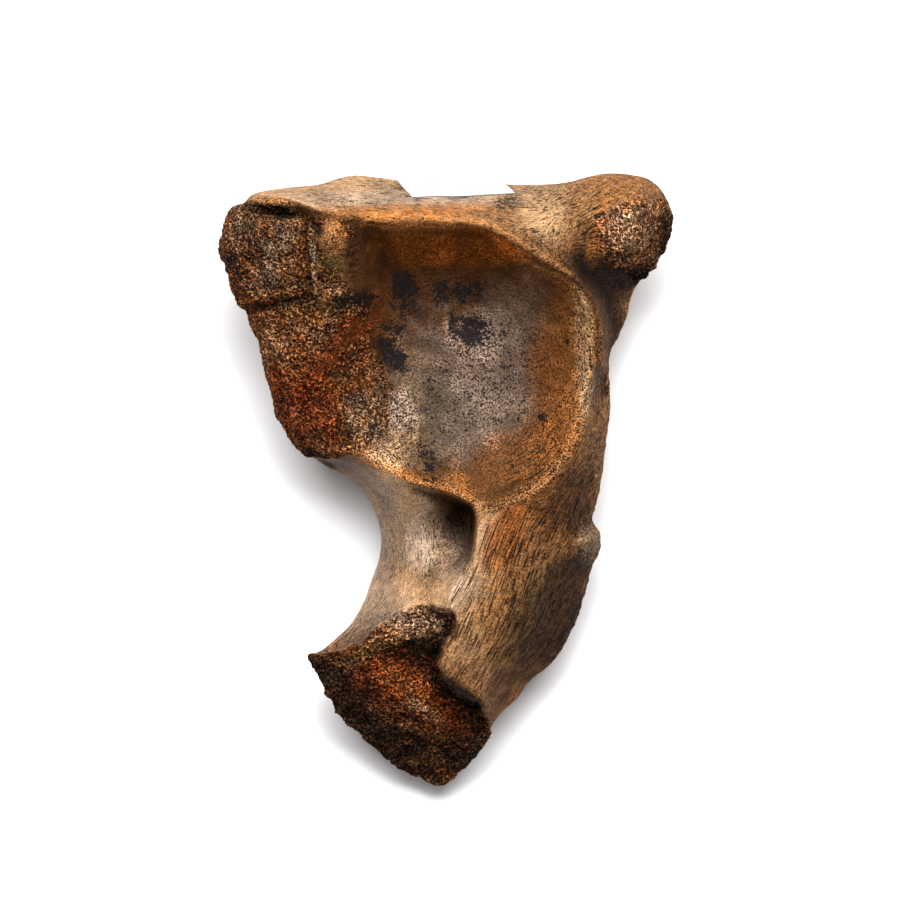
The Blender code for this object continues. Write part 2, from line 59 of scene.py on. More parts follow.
LOOP_STEPS = 5  # Points from one mark of a loop to the next
LINE_STEPS = 6  # Points from one mark of the rim, or of a crack, to the next
INSIDE_ONLY = 1  # Asks the triangulation for the faces inside the outline
MIX_INPUTS = (0, 6, 7)  # A colour mix node's share and its two colours
MIX_OUTPUT = 2  # Its mixed colour
Marks = Sequence[tuple]
Rgba = tuple[float, float, float, float]


class Tint(Enum):
    """Colours of the bone's surface, as red, green and blue from 0 to 255 on a screen."""

    PALE = (182, 156, 132)
    SAND = (160, 126, 92)
    TAN = (134, 94, 56)
    BROWN = (100, 62, 32)
    UMBER = (66, 40, 20)
    DARK = (34, 22, 14)
    RUST = (110, 48, 14)
    OCHRE = (130, 74, 30)
    AMBER = (168, 104, 50)
    FLAME = (184, 98, 30)
    LILAC = (144, 118, 100)
    GREY = (112, 92, 70)
    OLIVE = (84, 66, 36)

    def linear(self) -> np.ndarray:
        """The colour as light, which is what a shader takes."""
        share = np.array(self.value) / 255.0
        return np.where(share <= 0.04045, share / 12.92, ((share + 0.055) / 1.055) ** 2.4)


class Zone(Enum):
    """Kinds of surface that are finished differently."""

    SPONGE = "sponge"
    CUP = "cup"
    CANAL = "canal"
    OUTSIDE = "outside"


@dataclass(frozen=True)
class Plan:
    """The plan drawing that the landmarks are marked on."""

    bone_length: float = 0.275
    drawing_length: float = 611.0
    middle: tuple[float, float] = (446.0, 480.5)

    @property
    def unit(self) -> float:
        """Millimetres in one drawing unit."""
        return self.bone_length / MM / self.drawing_length

    def places(self, marks: Marks) -> np.ndarray:
        """Turn marks into millimetres, with +Y up the drawing.

        Args:
            marks: Rows of x, y and any further values.

        Returns:
            One row for each mark, its further values as they were.
        """
        table = np.array(marks, float)
        table[:, 0] = (table[:, 0] - self.middle[0]) * self.unit
        table[:, 1] = (self.middle[1] - table[:, 1]) * self.unit
        return table


PLAN = Plan()


def smoothstep(low: float, high: float, value: np.ndarray) -> np.ndarray:
    """0 below low, 1 above high, and a smooth step between."""
    share = np.clip((value - low) / (high - low), 0.0, 1.0)
    return share * share * (3.0 - 2.0 * share)


def smooth_min(first: np.ndarray, second: np.ndarray, width: float) -> np.ndarray:
    """The lower of two surfaces, with their crossing rounded over the width."""
    share = np.clip(0.5 + 0.5 * (second - first) / width, 0.0, 1.0)
    return second + (first - second) * share - width * share * (1.0 - share)


def curve_through(drawn: Marks, per_span: int, closed: bool) -> np.ndarray:
    """Points on a smooth curve through drawn marks, centripetal so that it can't loop at a corner.

    Args:
        drawn: Rows of x, y and further values.
        per_span: How many points to make from one mark to the next.
        closed: Whether the last mark joins the first.

    Returns:
        Rows like the marks, in millimetres, along the curve.
    """
    marks = PLAN.places(drawn)
    count = len(marks)
    points = []
    for i in range(count if closed else count - 1):
        before, start, end, after = (marks[(i + step) % count] for step in (-1, 0, 1, 2))
        if not closed and i == 0:
            before = 2 * start - end
        if not closed and i == count - 2:
            after = 2 * end - start
        gaps = [
            max(np.linalg.norm((b - a)[:2]), CLOSE) ** 0.5
            for a, b in ((before, start), (start, end), (end, after))
        ]
        chord = (end - start) / gaps[1]
        leave = gaps[1] * ((start - before) / gaps[0] - (end - before) / (gaps[0] + gaps[1]) + chord)
        arrive = gaps[1] * (chord - (after - start) / (gaps[1] + gaps[2]) + (after - end) / gaps[2])
        for t in np.arange(per_span) / per_span:
            points.append(
                (2 * t**3 - 3 * t**2 + 1) * start
                + (t**3 - 2 * t**2 + t) * leave
                + (3 * t**2 - 2 * t**3) * end
                + (t**3 - t**2) * arrive
            )
    if not closed:
        points.append(marks[-1])
    return np.array(points)


def nearest_on(line: np.ndarray, places: np.ndarray, closed: bool) -> tuple[np.ndarray, np.ndarray]:
    """Distance from each place to a line, and the line's own values at the nearest point.

    Args:
        line: Rows of x, y and further values.
        places: Rows of x and y.
        closed: Whether the line's last point joins its first.

    Returns:
        The distances, and rows of the further values.
    """
    ends = np.roll(line, -1, axis=0) if closed else line[1:]
    distance = np.full(len(places), FAR)
    values = np.zeros((len(places), line.shape[1] - 2))
    for start, end in zip(line, ends):
        run = end[:2] - start[:2]
        along = np.clip(((places - start[:2]) @ run) / max(run @ run, TINY), 0.0, 1.0)
        away = np.hypot(*(places - start[:2] - along[:, None] * run).T)
        closer = away < distance
        distance[closer] = away[closer]
        values[closer] = start[2:] + along[closer, None] * (end - start)[2:]
    return distance, values


def sideways(line: np.ndarray) -> np.ndarray:
    """The direction across a closed line at each of its points."""
    run = np.roll(line, -1, axis=0) - np.roll(line, 1, axis=0)
    return np.c_[-run[:, 1], run[:, 0]] / np.hypot(run[:, 0], run[:, 1])[:, None]


def inside(line: np.ndarray, places: np.ndarray) -> np.ndarray:
    """Which places lie inside a closed line.

    Args:
        line: Rows of x, y and further values.
        places: Rows of x and y in millimetres.

    Returns:
        True for each place inside.
    """
    x, y = places.T
    odd = np.zeros(len(places), bool)
    for (x1, y1), (x2, y2) in zip(line[:, :2], np.roll(line[:, :2], -1, axis=0)):
        if y1 != y2:
            crosses = (y1 > y) != (y2 > y)
            odd ^= crosses & (x < x1 + (y - y1) / (y2 - y1) * (x2 - x1))
    return odd


def depth_in(loop: Marks, places: np.ndarray) -> tuple[np.ndarray, np.ndarray]:
    """How far inside a loop each place lies, below nothing outside, and the loop's values there.

    Args:
        loop: The loop's marks.
        places: Rows of x and y in millimetres.

    Returns:
        The depths in millimetres, and rows of the loop's further values.
    """
    line = curve_through(loop, LOOP_STEPS, True)
    distance, values = nearest_on(line, places, True)
    return np.where(inside(line, places), distance, -distance), values


def swell(lumps: Marks, places: np.ndarray) -> np.ndarray:
    """The sum of round lumps, or hollows where their height is below nothing.

    Args:
        lumps: Rows of x, y, half length, half width, turn and height.
        places: Rows of x and y in millimetres.

    Returns:
        The height at each place.
    """
    total = np.zeros(len(places))
    for x, y, long_half, wide_half, turn, height in lumps:
        along, across = turned(places, (x, y), turn)
        total += height * np.exp(-((along / long_half) ** 2 + (across / wide_half) ** 2))
    return total


def turned(places: np.ndarray, middle: tuple[float, float], turn: float) -> tuple[np.ndarray, np.ndarray]:
    """Places measured in drawing units from a mark, along and across a turned axis.

    Args:
        places: Rows of x and y in millimetres.
        middle: The mark.
        turn: The axis's turn in radians.

    Returns:
        The distances along the axis, and those across it.
    """
    away = (places - PLAN.places([middle])[0]) / PLAN.unit
    along = away[:, 0] * math.cos(turn) + away[:, 1] * math.sin(turn)
    across = away[:, 1] * math.cos(turn) - away[:, 0] * math.sin(turn)
    return along, across


@dataclass(frozen=True)
class Sheet:
    """A thin springy sheet that passes through height marks."""

    marks: Marks
    scale: float = 50.0
    slack: float = 1e-4

    def heights(self, places: np.ndarray) -> np.ndarray:
        """The sheet's height over each place.

        Args:
            places: Rows of x and y in millimetres.

        Returns:
            The heights in millimetres.
        """
        posts = PLAN.places(self.marks)
        at = posts[:, :2] / self.scale
        lean = np.c_[np.ones(len(at)), at]
        pull = self._pull(at, at) + self.slack * np.eye(len(at))
        system = np.block([[pull, lean], [lean.T, np.zeros((3, 3))]])
        weights = np.linalg.solve(system, np.r_[posts[:, 2], np.zeros(3)])
        spots = places / self.scale
        plane = np.c_[np.ones(len(spots)), spots] @ weights[-3:]
        return self._pull(spots, at) @ weights[:-3] + plane

    @staticmethod
    def _pull(spots: np.ndarray, at: np.ndarray) -> np.ndarray:
        """How strongly each post bends the sheet at each spot."""
        squares = ((spots[:, None] - at[None]) ** 2).sum(axis=2)
        return 0.5 * squares * np.log(np.maximum(squares, TINY))


@dataclass(frozen=True)
class Lumps:
    """An unevenness: its height and size in millimetres, its layers, and where its pattern starts."""

    height: float
    size: float
    layers: int
    start: float = 0.0


class Grain:
    """Repeatable rough patterns in space: soft clouds, and cells like those of a sponge."""

    table_rows: int = 256
    cloud_gain: float = 1.6
    cloud_shift: float = 17.3
    ridge_gain: float = 3.0
    ridge_shift: float = 11.9

    def __init__(self, seed: int) -> None:
        """Shuffle the pattern's own table of directions.

        Args:
            seed: The number that the pattern grows from.
        """
        chance = np.random.default_rng(seed)
        self.order = chance.permutation(self.table_rows)
        spokes = chance.normal(size=(self.table_rows, 3))
        self.spokes = spokes / np.linalg.norm(spokes, axis=1)[:, None]
        self.spots = chance.random((self.table_rows, 3))

    def _pick(self, cells: np.ndarray) -> np.ndarray:
        """The table row that belongs to each whole-number cell.

        Args:
            cells: Rows of three whole numbers.

        Returns:
            The row numbers.
        """
        row = np.zeros(len(cells), int)
        for axis in range(3):
            row = self.order[(row + cells[:, axis]) & (self.table_rows - 1)]
        return row

    def cloud(self, points: np.ndarray, size: float) -> np.ndarray:
        """Soft lumps of one size, from about -1 to 1.

        Args:
            points: Rows of x, y and z in millimetres.
            size: The lumps' size in millimetres.

        Returns:
            The pattern's value at each point.
        """
        spots = points / size
        cells = np.floor(spots).astype(int)
        part = spots - cells
        ease = part**3 * (part * (part * 6 - 15) + 10)
        total = np.zeros(len(points))
        for corner in np.ndindex(2, 2, 2):
            corner_at = np.array(corner)
            pull = (self.spokes[self._pick(cells + corner_at)] * (part - corner_at)).sum(axis=1)
            share = np.prod(np.where(corner_at, ease, 1 - ease), axis=1)
            total += share * pull
        return total * self.cloud_gain

    def _layers(self, points: np.ndarray, lumps: Lumps, shift: float) -> list[np.ndarray]:
        """Soft lumps in layers, each half the size of the one before, and from its own place."""
        moved = points + lumps.start
        return [self.cloud(moved + shift * i, lumps.size / 2**i) for i in range(lumps.layers)]

    def clouds(self, points: np.ndarray, lumps: Lumps) -> np.ndarray:
        """Soft lumps with ever finer ones on them, each layer half the height of the one before."""
        layers = self._layers(points, lumps, self.cloud_shift)
        return lumps.height * sum(layer / 2**i for i, layer in enumerate(layers))

    def ridges(self, points: np.ndarray, lumps: Lumps) -> np.ndarray:
        """Sharp crests with round hollows between, in layers like those of the clouds.

        Args:
            points: Rows of x, y and z in millimetres.
            lumps: The crests' height, size and layers.

        Returns:
            The pattern's value at each point.
        """
        layers = self._layers(points, lumps, self.ridge_shift)
        crests = [1.0 - self.ridge_gain * np.abs(layer) for layer in layers]
        return lumps.height * sum(layer / 2**i for i, layer in enumerate(crests))

    def cells(self, points: np.ndarray, size: float) -> tuple[np.ndarray, np.ndarray]:
        """Distances to the nearest and second nearest cell middles, in cell sizes.

        Args:
            points: Rows of x, y and z in millimetres.
            size: The cells' size in millimetres.

        Returns:
            The nearest distances and the second nearest.
        """
        spots = points / size
        home = np.floor(spots).astype(int)
        first = np.full(len(points), FAR)
        second = np.full(len(points), FAR)
        for step in np.ndindex(3, 3, 3):
            cell = home + np.array(step) - 1
            away = np.linalg.norm(cell + self.spots[self._pick(cell)] - spots, axis=1)
            second = np.minimum(second, np.maximum(first, away))
            first = np.minimum(first, away)
        return first, second


@dataclass
class Relief:
    """The bone's shape: its silhouette, and the heights of its upper and lower surfaces."""

    grain: Grain = field(default_factory=lambda: Grain(7))
    cup_middle: tuple[float, float] = (462, 368)
    cup_floor: float = 62.0
    cup_round: tuple[float, float] = (0.1, 0.85)
    cup_reach: float = 1.5
    lumps_in_cup: float = 0.8
    break_blend: float = 1.0
    edge_drop: float = 1.0
    edge_blend: float = 3.2
    wing_band: tuple[float, float] = (370, 440)
    pad_slope: float = 0.75
    pad_blend: float = 6.0
    least_rise: float = 0.5
    flat_cut: float = 0.5
    end_fray: Lumps = Lumps(1.5, 5.0, 3)
    outline: Marks = (
        (222, 240, 72, 8, 22), (221, 253, 69, 7, 22), (228, 268, 66, 7, 24), (234, 288, 63, 7, 26),
        (241, 304, 60, 6, 28), (248, 312, 58, 5, 28), (256, 334, 56, 7, 30), (264, 359, 53, 8, 30),
        (271, 388, 50, 8, 30), (279, 416, 46, 8, 28), (290, 437, 43, 8, 26), (300, 450, 41, 7, 24),
        (312, 457, 39, 7, 24), (327, 468, 35, 10, 24), (345, 476, 30, 16, 20), (360, 487, 25, 20, 16),
        (369, 501, 22, 22, 14), (377, 518, 20, 22, 12), (381, 537, 19, 22, 12), (380, 555, 19, 22, 12),
        (372, 580, 22, 22, 14), (362, 606, 27, 20, 16), (351, 624, 32, 16, 18), (337, 638, 38, 12, 20),
        (322, 650, 44, 8, 20), (309, 657, 48, 4, 20), (313, 667, 46, 5, 20), (321, 682, 41, 6, 20),
        (329, 699, 36, 7, 20), (341, 718, 31, 8, 18), (361, 737, 26, 8, 16), (385, 757, 21, 8, 14),
        (407, 774, 17, 8, 12), (424, 782, 15, 8, 10), (440, 787, 15, 8, 10), (454, 782, 16, 8, 12),
        (467, 767, 20, 8, 14), (480, 751, 25, 8, 16), (488, 741, 29, 8, 18), (491, 730, 32, 10, 18),
        (501, 714, 32, 16, 18), (517, 700, 30, 22, 18), (529, 683, 29, 26, 18), (549, 667, 28, 28, 18),
        (563, 648, 28, 28, 18), (576, 624, 28, 28, 20), (585, 598, 29, 26, 22), (591, 573, 32, 22, 24),
        (596, 560, 36, 14, 26), (601, 546, 39, 10, 28), (599, 531, 40, 10, 28), (593, 522, 39, 18, 28),
        (597, 502, 40, 22, 28), (602, 478, 42, 22, 30), (606, 446, 45, 18, 30), (610, 415, 48, 12, 30),
        (610, 384, 51, 8, 30), (610, 354, 50, 6, 28), (619, 337, 38, 6, 16), (628, 315, 37, 8, 14),
        (632, 298, 40, 10, 14), (638, 285, 44, 14, 16), (650, 273, 48, 16, 18), (662, 257, 52, 18, 20),
        (669, 241, 55, 18, 20), (672, 222, 56, 18, 20), (669, 205, 57, 18, 20), (661, 189, 58, 18, 20),
        (649, 179, 58, 18, 20), (633, 175, 57, 18, 20), (610, 173, 56, 18, 20), (590, 176, 55, 18, 22),
        (572, 181, 54, 18, 24), (548, 184, 53, 20, 28), (515, 184, 54, 22, 30), (480, 182, 56, 22, 32),
        (440, 180, 58, 22, 34), (400, 180, 60, 20, 36), (376, 177, 61, 18, 36), (355, 175, 62, 16, 36),
        (338, 179, 65, 13, 34), (322, 184, 69, 11, 32), (295, 187, 75, 9, 28), (268, 191, 80, 7, 26),
        (252, 196, 82, 5, 24), (245, 204, 82, 5, 24), (234, 208, 80, 6, 24), (228, 218, 76, 7, 24),
    )
    table_loop: Marks = (
        (216, 222, 1.0), (226, 214, 1.0), (236, 207, 1.0), (250, 199, 1.0), (275, 198, 1.0),
        (300, 204, 1.0), (320, 213, 1.4), (345, 221, 2.8), (385, 225, 3.6), (430, 225, 3.8),
        (475, 228, 3.6), (510, 243, 3.0), (545, 264, 2.4), (575, 283, 2.0), (592, 305, 2.0),
        (599, 332, 2.4), (600, 365, 3.2), (592, 405, 5.0), (578, 445, 8.0), (552, 482, 9.0),
        (515, 505, 9.0), (484, 512, 4.0), (470, 506, 1.6), (455, 498, 1.6), (440, 493, 1.6),
        (420, 487, 1.8), (400, 478, 2.4), (372, 468, 3.5), (350, 461, 4.0), (330, 459, 3.0),
        (308, 458, 2.0), (280, 470, 2.0), (240, 400, 2.0), (210, 300, 2.0), (200, 240, 2.0),
    )
    canal_loop: Marks = (
        (455, 480, 1.5), (470, 500, 1.5), (474, 514, 1.5), (474, 535, 1.6), (471, 553, 2.0),
        (463, 571, 5.0), (453, 585, 7.0), (448, 600, 6.0), (452, 612, 3.0), (444, 621, 2.0),
        (424, 621, 2.0), (405, 628, 2.0), (387, 640, 2.0), (369, 655, 2.0), (350, 665, 2.0),
        (325, 668, 2.0), (296, 670, 2.0), (270, 650, 2.0), (330, 560, 2.0), (290, 470, 2.0),
        (310, 440, 2.0), (380, 440, 2.0),
    )
    end_loop: Marks = (
        (290, 658, 0.8), (325, 653, 0.8), (345, 650, 0.8), (362, 640, 0.8), (380, 625, 0.8),
        (400, 613, 0.8), (420, 606, 0.8), (438, 606, 0.8), (455, 614, 1.0), (455, 628, 1.2),
        (446, 642, 1.4), (440, 658, 1.6), (443, 676, 1.6), (456, 691, 1.5), (477, 701, 1.4),
        (487, 716, 1.2), (491, 733, 1.2), (510, 745, 2.0), (500, 800, 2.0), (400, 830, 2.0),
        (290, 740, 2.0),
    )
    cup_rim: Marks = (
        (364, 221, 118, 3.2), (390, 221, 118, 3.4), (430, 220, 117, 3.5), (475, 222, 115, 3.6),
        (510, 240, 112, 3.4), (545, 262, 109, 3.0), (575, 280, 106, 2.7), (592, 302, 104, 2.5),
        (600, 330, 102, 2.4), (600, 365, 100, 2.4), (592, 405, 97, 2.4), (578, 445, 93, 2.4),
        (552, 482, 89, 2.4), (515, 505, 88, 2.6), (482, 510, 88, 3.0), (455, 497, 88, 3.2),
        (420, 488, 88, 3.2), (390, 478, 88, 3.0), (350, 465, 90, 2.6), (318, 440, 95, 2.4),
        (300, 400, 100, 2.4), (302, 350, 106, 2.4), (322, 302, 110, 2.6), (348, 268, 114, 3.0),
        (357, 242, 117, 3.2),
    )
    upper_edge: Marks = (
        (220, 222, 88), (236, 207, 98), (250, 199, 104), (275, 198, 110), (300, 204, 114),
        (320, 213, 117), (345, 221, 119), (385, 223, 119), (430, 223, 117), (475, 226, 115),
        (510, 242, 112), (545, 262, 109), (575, 280, 106), (592, 302, 104), (600, 330, 102),
        (602, 365, 99),
    )
    broken_side: Sheet = Sheet((
        (228, 225, 90), (222, 255, 84), (260, 225, 103), (300, 222, 109), (240, 290, 80),
        (318, 290, 97), (300, 255, 104), (335, 235, 112), (262, 340, 76), (300, 330, 87),
        (345, 320, 88), (380, 345, 70), (345, 365, 77), (405, 392, 66.5), (300, 380, 79),
        (285, 425, 60), (320, 430, 70), (350, 420, 76), (385, 420, 74), (415, 450, 80),
        (400, 474, 86), (360, 460, 80), (330, 455, 68), (430, 478, 84), (310, 452, 58),
    ))
    wing_side: Sheet = Sheet((
        (250, 190, 92), (300, 192, 96), (345, 190, 92), (345, 212, 114), (400, 190, 88),
        (400, 212, 112), (460, 190, 84), (460, 212, 106), (500, 225, 106), (500, 195, 88),
        (530, 245, 104), (540, 215, 96), (540, 190, 84), (560, 262, 98), (575, 235, 90),
        (570, 205, 86), (588, 258, 82), (594, 280, 70), (602, 300, 58), (620, 282, 56),
        (630, 285, 50), (608, 325, 48), (622, 310, 45), (612, 345, 42), (600, 240, 84),
        (605, 205, 88), (640, 200, 88), (655, 225, 80), (640, 250, 82), (618, 258, 80),
        (640, 268, 62), (660, 255, 58),
    ))
    outer_side: Sheet = Sheet((
        (480, 512, 89), (479, 530, 89), (477, 550, 89), (470, 575, 88), (461, 592, 87),
        (458, 615, 85), (450, 640, 83), (447, 665, 80), (460, 686, 75), (484, 706, 66),
        (520, 520, 86), (560, 500, 80), (590, 480, 72), (510, 570, 82), (545, 560, 74),
        (580, 560, 60), (595, 540, 58), (500, 620, 78), (530, 610, 68), (560, 610, 52),
        (485, 660, 74), (510, 670, 60), (540, 650, 50), (500, 700, 48), (600, 440, 78),
        (605, 400, 84), (492, 725, 42), (603, 350, 92), (575, 440, 92), (545, 480, 89),
        (510, 505, 88),
    ))
    canal_wall: Sheet = Sheet((
        (335, 466, 40), (350, 472, 58), (370, 478, 74), (390, 486, 78), (410, 492, 76),
        (430, 498, 68), (450, 506, 52), (462, 514, 38), (375, 500, 58), (400, 512, 66),
        (425, 520, 60), (450, 530, 45), (468, 540, 46), (462, 560, 64), (390, 540, 50),
        (412, 545, 57), (430, 548, 56), (450, 565, 65), (430, 575, 63), (448, 586, 79),
        (400, 585, 60), (375, 560, 38), (385, 620, 60), (425, 602, 73), (445, 603, 84),
        (350, 640, 50), (320, 655, 48), (405, 610, 68),
    ))
    broken_end: Sheet = Sheet((
        (309, 658, 47), (345, 655, 54), (365, 645, 60), (385, 630, 64), (405, 620, 67),
        (430, 612, 69), (450, 622, 68), (400, 640, 64), (440, 634, 66), (400, 652, 56),
        (436, 650, 56), (340, 690, 42), (400, 690, 48), (436, 690, 46), (480, 715, 38),
        (370, 735, 31), (420, 740, 32), (470, 745, 30), (440, 780, 18), (400, 765, 22),
    ))
    underside: Sheet = Sheet((
        (300, 250, 30), (255, 300, 36), (350, 230, 22), (430, 215, 22), (500, 225, 24),
        (560, 235, 30), (628, 222, 38), (605, 290, 30), (560, 300, 18), (350, 300, 12),
        (450, 300, 10), (520, 340, 12), (320, 370, 16), (400, 400, 10), (470, 430, 11),
        (540, 430, 14), (580, 400, 20), (320, 430, 20), (400, 470, 15), (470, 500, 13),
        (550, 500, 15), (430, 550, 12), (500, 560, 11), (560, 570, 16), (400, 610, 12),
        (480, 620, 9), (530, 640, 12), (350, 660, 22), (400, 700, 9), (450, 700, 7),
        (440, 760, 5), (480, 730, 10),
    ))
    pads: Marks = ((432, 338, 98, 74, -0.25), (462, 668, 34, 22, 0.9))
    table_lumps: Marks = ((335, 238, 22, 20, 0.0, 8.0), (336, 268, 13, 20, 0.1, 3.5))
    table_hollows: Marks = ((288, 216, 28, 5.5, -0.12, -9.0),)
    cup_pits: Marks = ((454, 322, 5, 14, 0.2, -2.2), (474, 330, 9, 15, 0.0, -2.0))
    outer_lumps: Marks = ((590, 542, 11, 15, 0.0, 7.0),)
    end_lumps: Marks = ((408, 700, 60, 17, -0.62, 4.5), (345, 712, 26, 14, -0.9, -2.0))
    cracks: tuple = (
        (((238, 312), (262, 308), (285, 302), (312, 296)), 5.5, 1.5),
        (((300, 212), (312, 222), (320, 233), (313, 246), (314, 262), (319, 277), (336, 294)), 3.0, 1.3),
    )

    def cup(self, places: np.ndarray) -> np.ndarray:
        """The joint cup: a floor, and walls that climb to the rim by their own steepness all round.

        Args:
            places: Rows of x and y in millimetres.

        Returns:
            The cup's height at each place.
        """
        rim = curve_through(self.cup_rim, LINE_STEPS, True)
        middle = PLAN.places([self.cup_middle])[0]
        spokes = rim[:, :2] - middle
        bearings = np.arctan2(spokes[:, 1], spokes[:, 0])
        order = np.argsort(bearings)
        reach = np.hypot(*spokes.T)[order]
        turn = 2 * math.pi
        ring = np.r_[bearings[order][-1] - turn, bearings[order], bearings[order][0] + turn]
        away = places - middle
        bearing = np.arctan2(away[:, 1], away[:, 0])

        def round_rim(values: np.ndarray) -> np.ndarray:
            """The rim's own values in the direction of each place."""
            return np.interp(bearing, ring, np.r_[values[-1], values, values[0]])

        plain = np.hypot(*away.T) / reach.mean()
        radius = reach.mean() + (round_rim(reach) - reach.mean()) * smoothstep(*self.cup_round, plain)
        share = np.clip(np.hypot(*away.T) / radius, 0.0, self.cup_reach)
        climb = (round_rim(rim[order, 2]) - self.cup_floor) * share ** round_rim(rim[order, 3])
        return self.cup_floor + climb

    def table(self, places: np.ndarray) -> np.ndarray:
        """The upper face: the cup, cut into on its left by the broken side.

        Args:
            places: Rows of x and y in millimetres.

        Returns:
            The face's height at each place.
        """
        lumps = swell(self.table_lumps, places)
        cup = self.cup(places) + swell(self.cup_pits, places) + self.lumps_in_cup * lumps
        broken = self.broken_side.heights(places) + lumps + swell(self.table_hollows, places)
        for run, depth, half_width in self.cracks:
            line = curve_through(run, LINE_STEPS, False)
            distance, _ = nearest_on(line, places, False)
            broken -= depth * np.exp(-((distance / half_width) ** 2))
        return smooth_min(cup, broken, self.break_blend)

    def wing(self, places: np.ndarray) -> np.ndarray:
        """The side above the cup, drawn out into the wing, and lifted to meet the cup's rim.

        Args:
            places: Rows of x and y in millimetres.

        Returns:
            The side's height at each place.
        """
        side = self.wing_side.heights(places)
        edge = curve_through(self.upper_edge, LOOP_STEPS, False)
        distance, heights = nearest_on(edge, places, False)
        rise = heights[:, 0] - self.edge_drop - side
        return side + rise * np.exp(-((distance / self.edge_blend) ** 2))

    def strayed(self, places: np.ndarray, lumps: Lumps) -> np.ndarray:
        """How far a loop's edge strays at each place."""
        return self.grain.clouds(np.c_[places, np.zeros(len(places))], lumps)

    def lay(
        self, base: np.ndarray, over: np.ndarray, loop: Marks, places: np.ndarray, fray: Lumps | None = None
    ) -> np.ndarray:
        """Lay one surface over another inside a loop, changing over across the loop's own width.

        Args:
            base: Heights of the lower surface.
            over: Heights of the surface inside the loop.
            loop: The loop, with half the width of the change at each mark.
            places: Rows of x and y.
            fray: How the loop's edge strays, if it does.

        Returns:
            The joined heights.
        """
        depth, values = depth_in(loop, places)
        if fray:
            depth = depth + self.strayed(places, fray)
        return base + (over - base) * smoothstep(-1.0, 1.0, depth / values[:, 0])

    def top(self, places: np.ndarray) -> np.ndarray:
        """Height of the bone's upper surface.

        Args:
            places: Rows of x and y in millimetres.

        Returns:
            The height at each place.
        """
        outer = self.outer_side.heights(places) + swell(self.outer_lumps, places)
        upper, lower = PLAN.places([(0, y) for y in self.wing_band])[:, 1]
        height = outer + (self.wing(places) - outer) * smoothstep(lower, upper, places[:, 1])
        height = self.lay(height, self.canal_wall.heights(places), self.canal_loop, places)
        end = self.broken_end.heights(places) + swell(self.end_lumps, places)
        height = self.lay(height, end, self.end_loop, places, self.end_fray)
        return self.lay(height, self.table(places), self.table_loop, places)

    def under(self, places: np.ndarray) -> np.ndarray:
        """Height of the bone's lower surface: hollow between the pads, and flat on them.

        Args:
            places: Rows of x and y in millimetres.

        Returns:
            The height at each place.
        """
        height = self.underside.heights(places)
        for x, y, long_half, wide_half, turn in self.pads:
            along, across = turned(places, (x, y), turn)
            beyond = np.maximum(np.hypot(along / long_half, across / wide_half) - 1.0, 0.0)
            rise = self.pad_slope * beyond * math.sqrt(long_half * wide_half) * PLAN.unit
            height = smooth_min(height, rise, self.pad_blend)
        return np.maximum(height, 0.0)

    def skins(self, places: np.ndarray, rim: np.ndarray) -> tuple[np.ndarray, np.ndarray]:
        """Upper and lower heights, rounded off towards the silhouette.

        Args:
            places: Rows of x and y inside the silhouette.
            rim: The silhouette's own line, with its height and roundings.

        Returns:
            The upper heights and the lower heights.
        """
        distance, values = nearest_on(rim, places, True)
        edge, top_round, under_round = values.T
        upper = np.maximum(self.top(places), edge + self.least_rise) - edge
        lower = edge - np.minimum(self.under(places), edge - self.least_rise)
        return edge + upper * quarter(distance / top_round), edge - lower * quarter(distance / under_round)

    def rim(self) -> np.ndarray:
        """The silhouette as a line, with its height and roundings."""
        return curve_through(self.outline, LINE_STEPS, True)


def quarter(share: np.ndarray) -> np.ndarray:
    """A quarter circle's rise, from 0 at the silhouette to 1 where the rounding ends."""
    return np.sqrt(1.0 - (1.0 - np.clip(share, 0.0, 1.0)) ** 2)


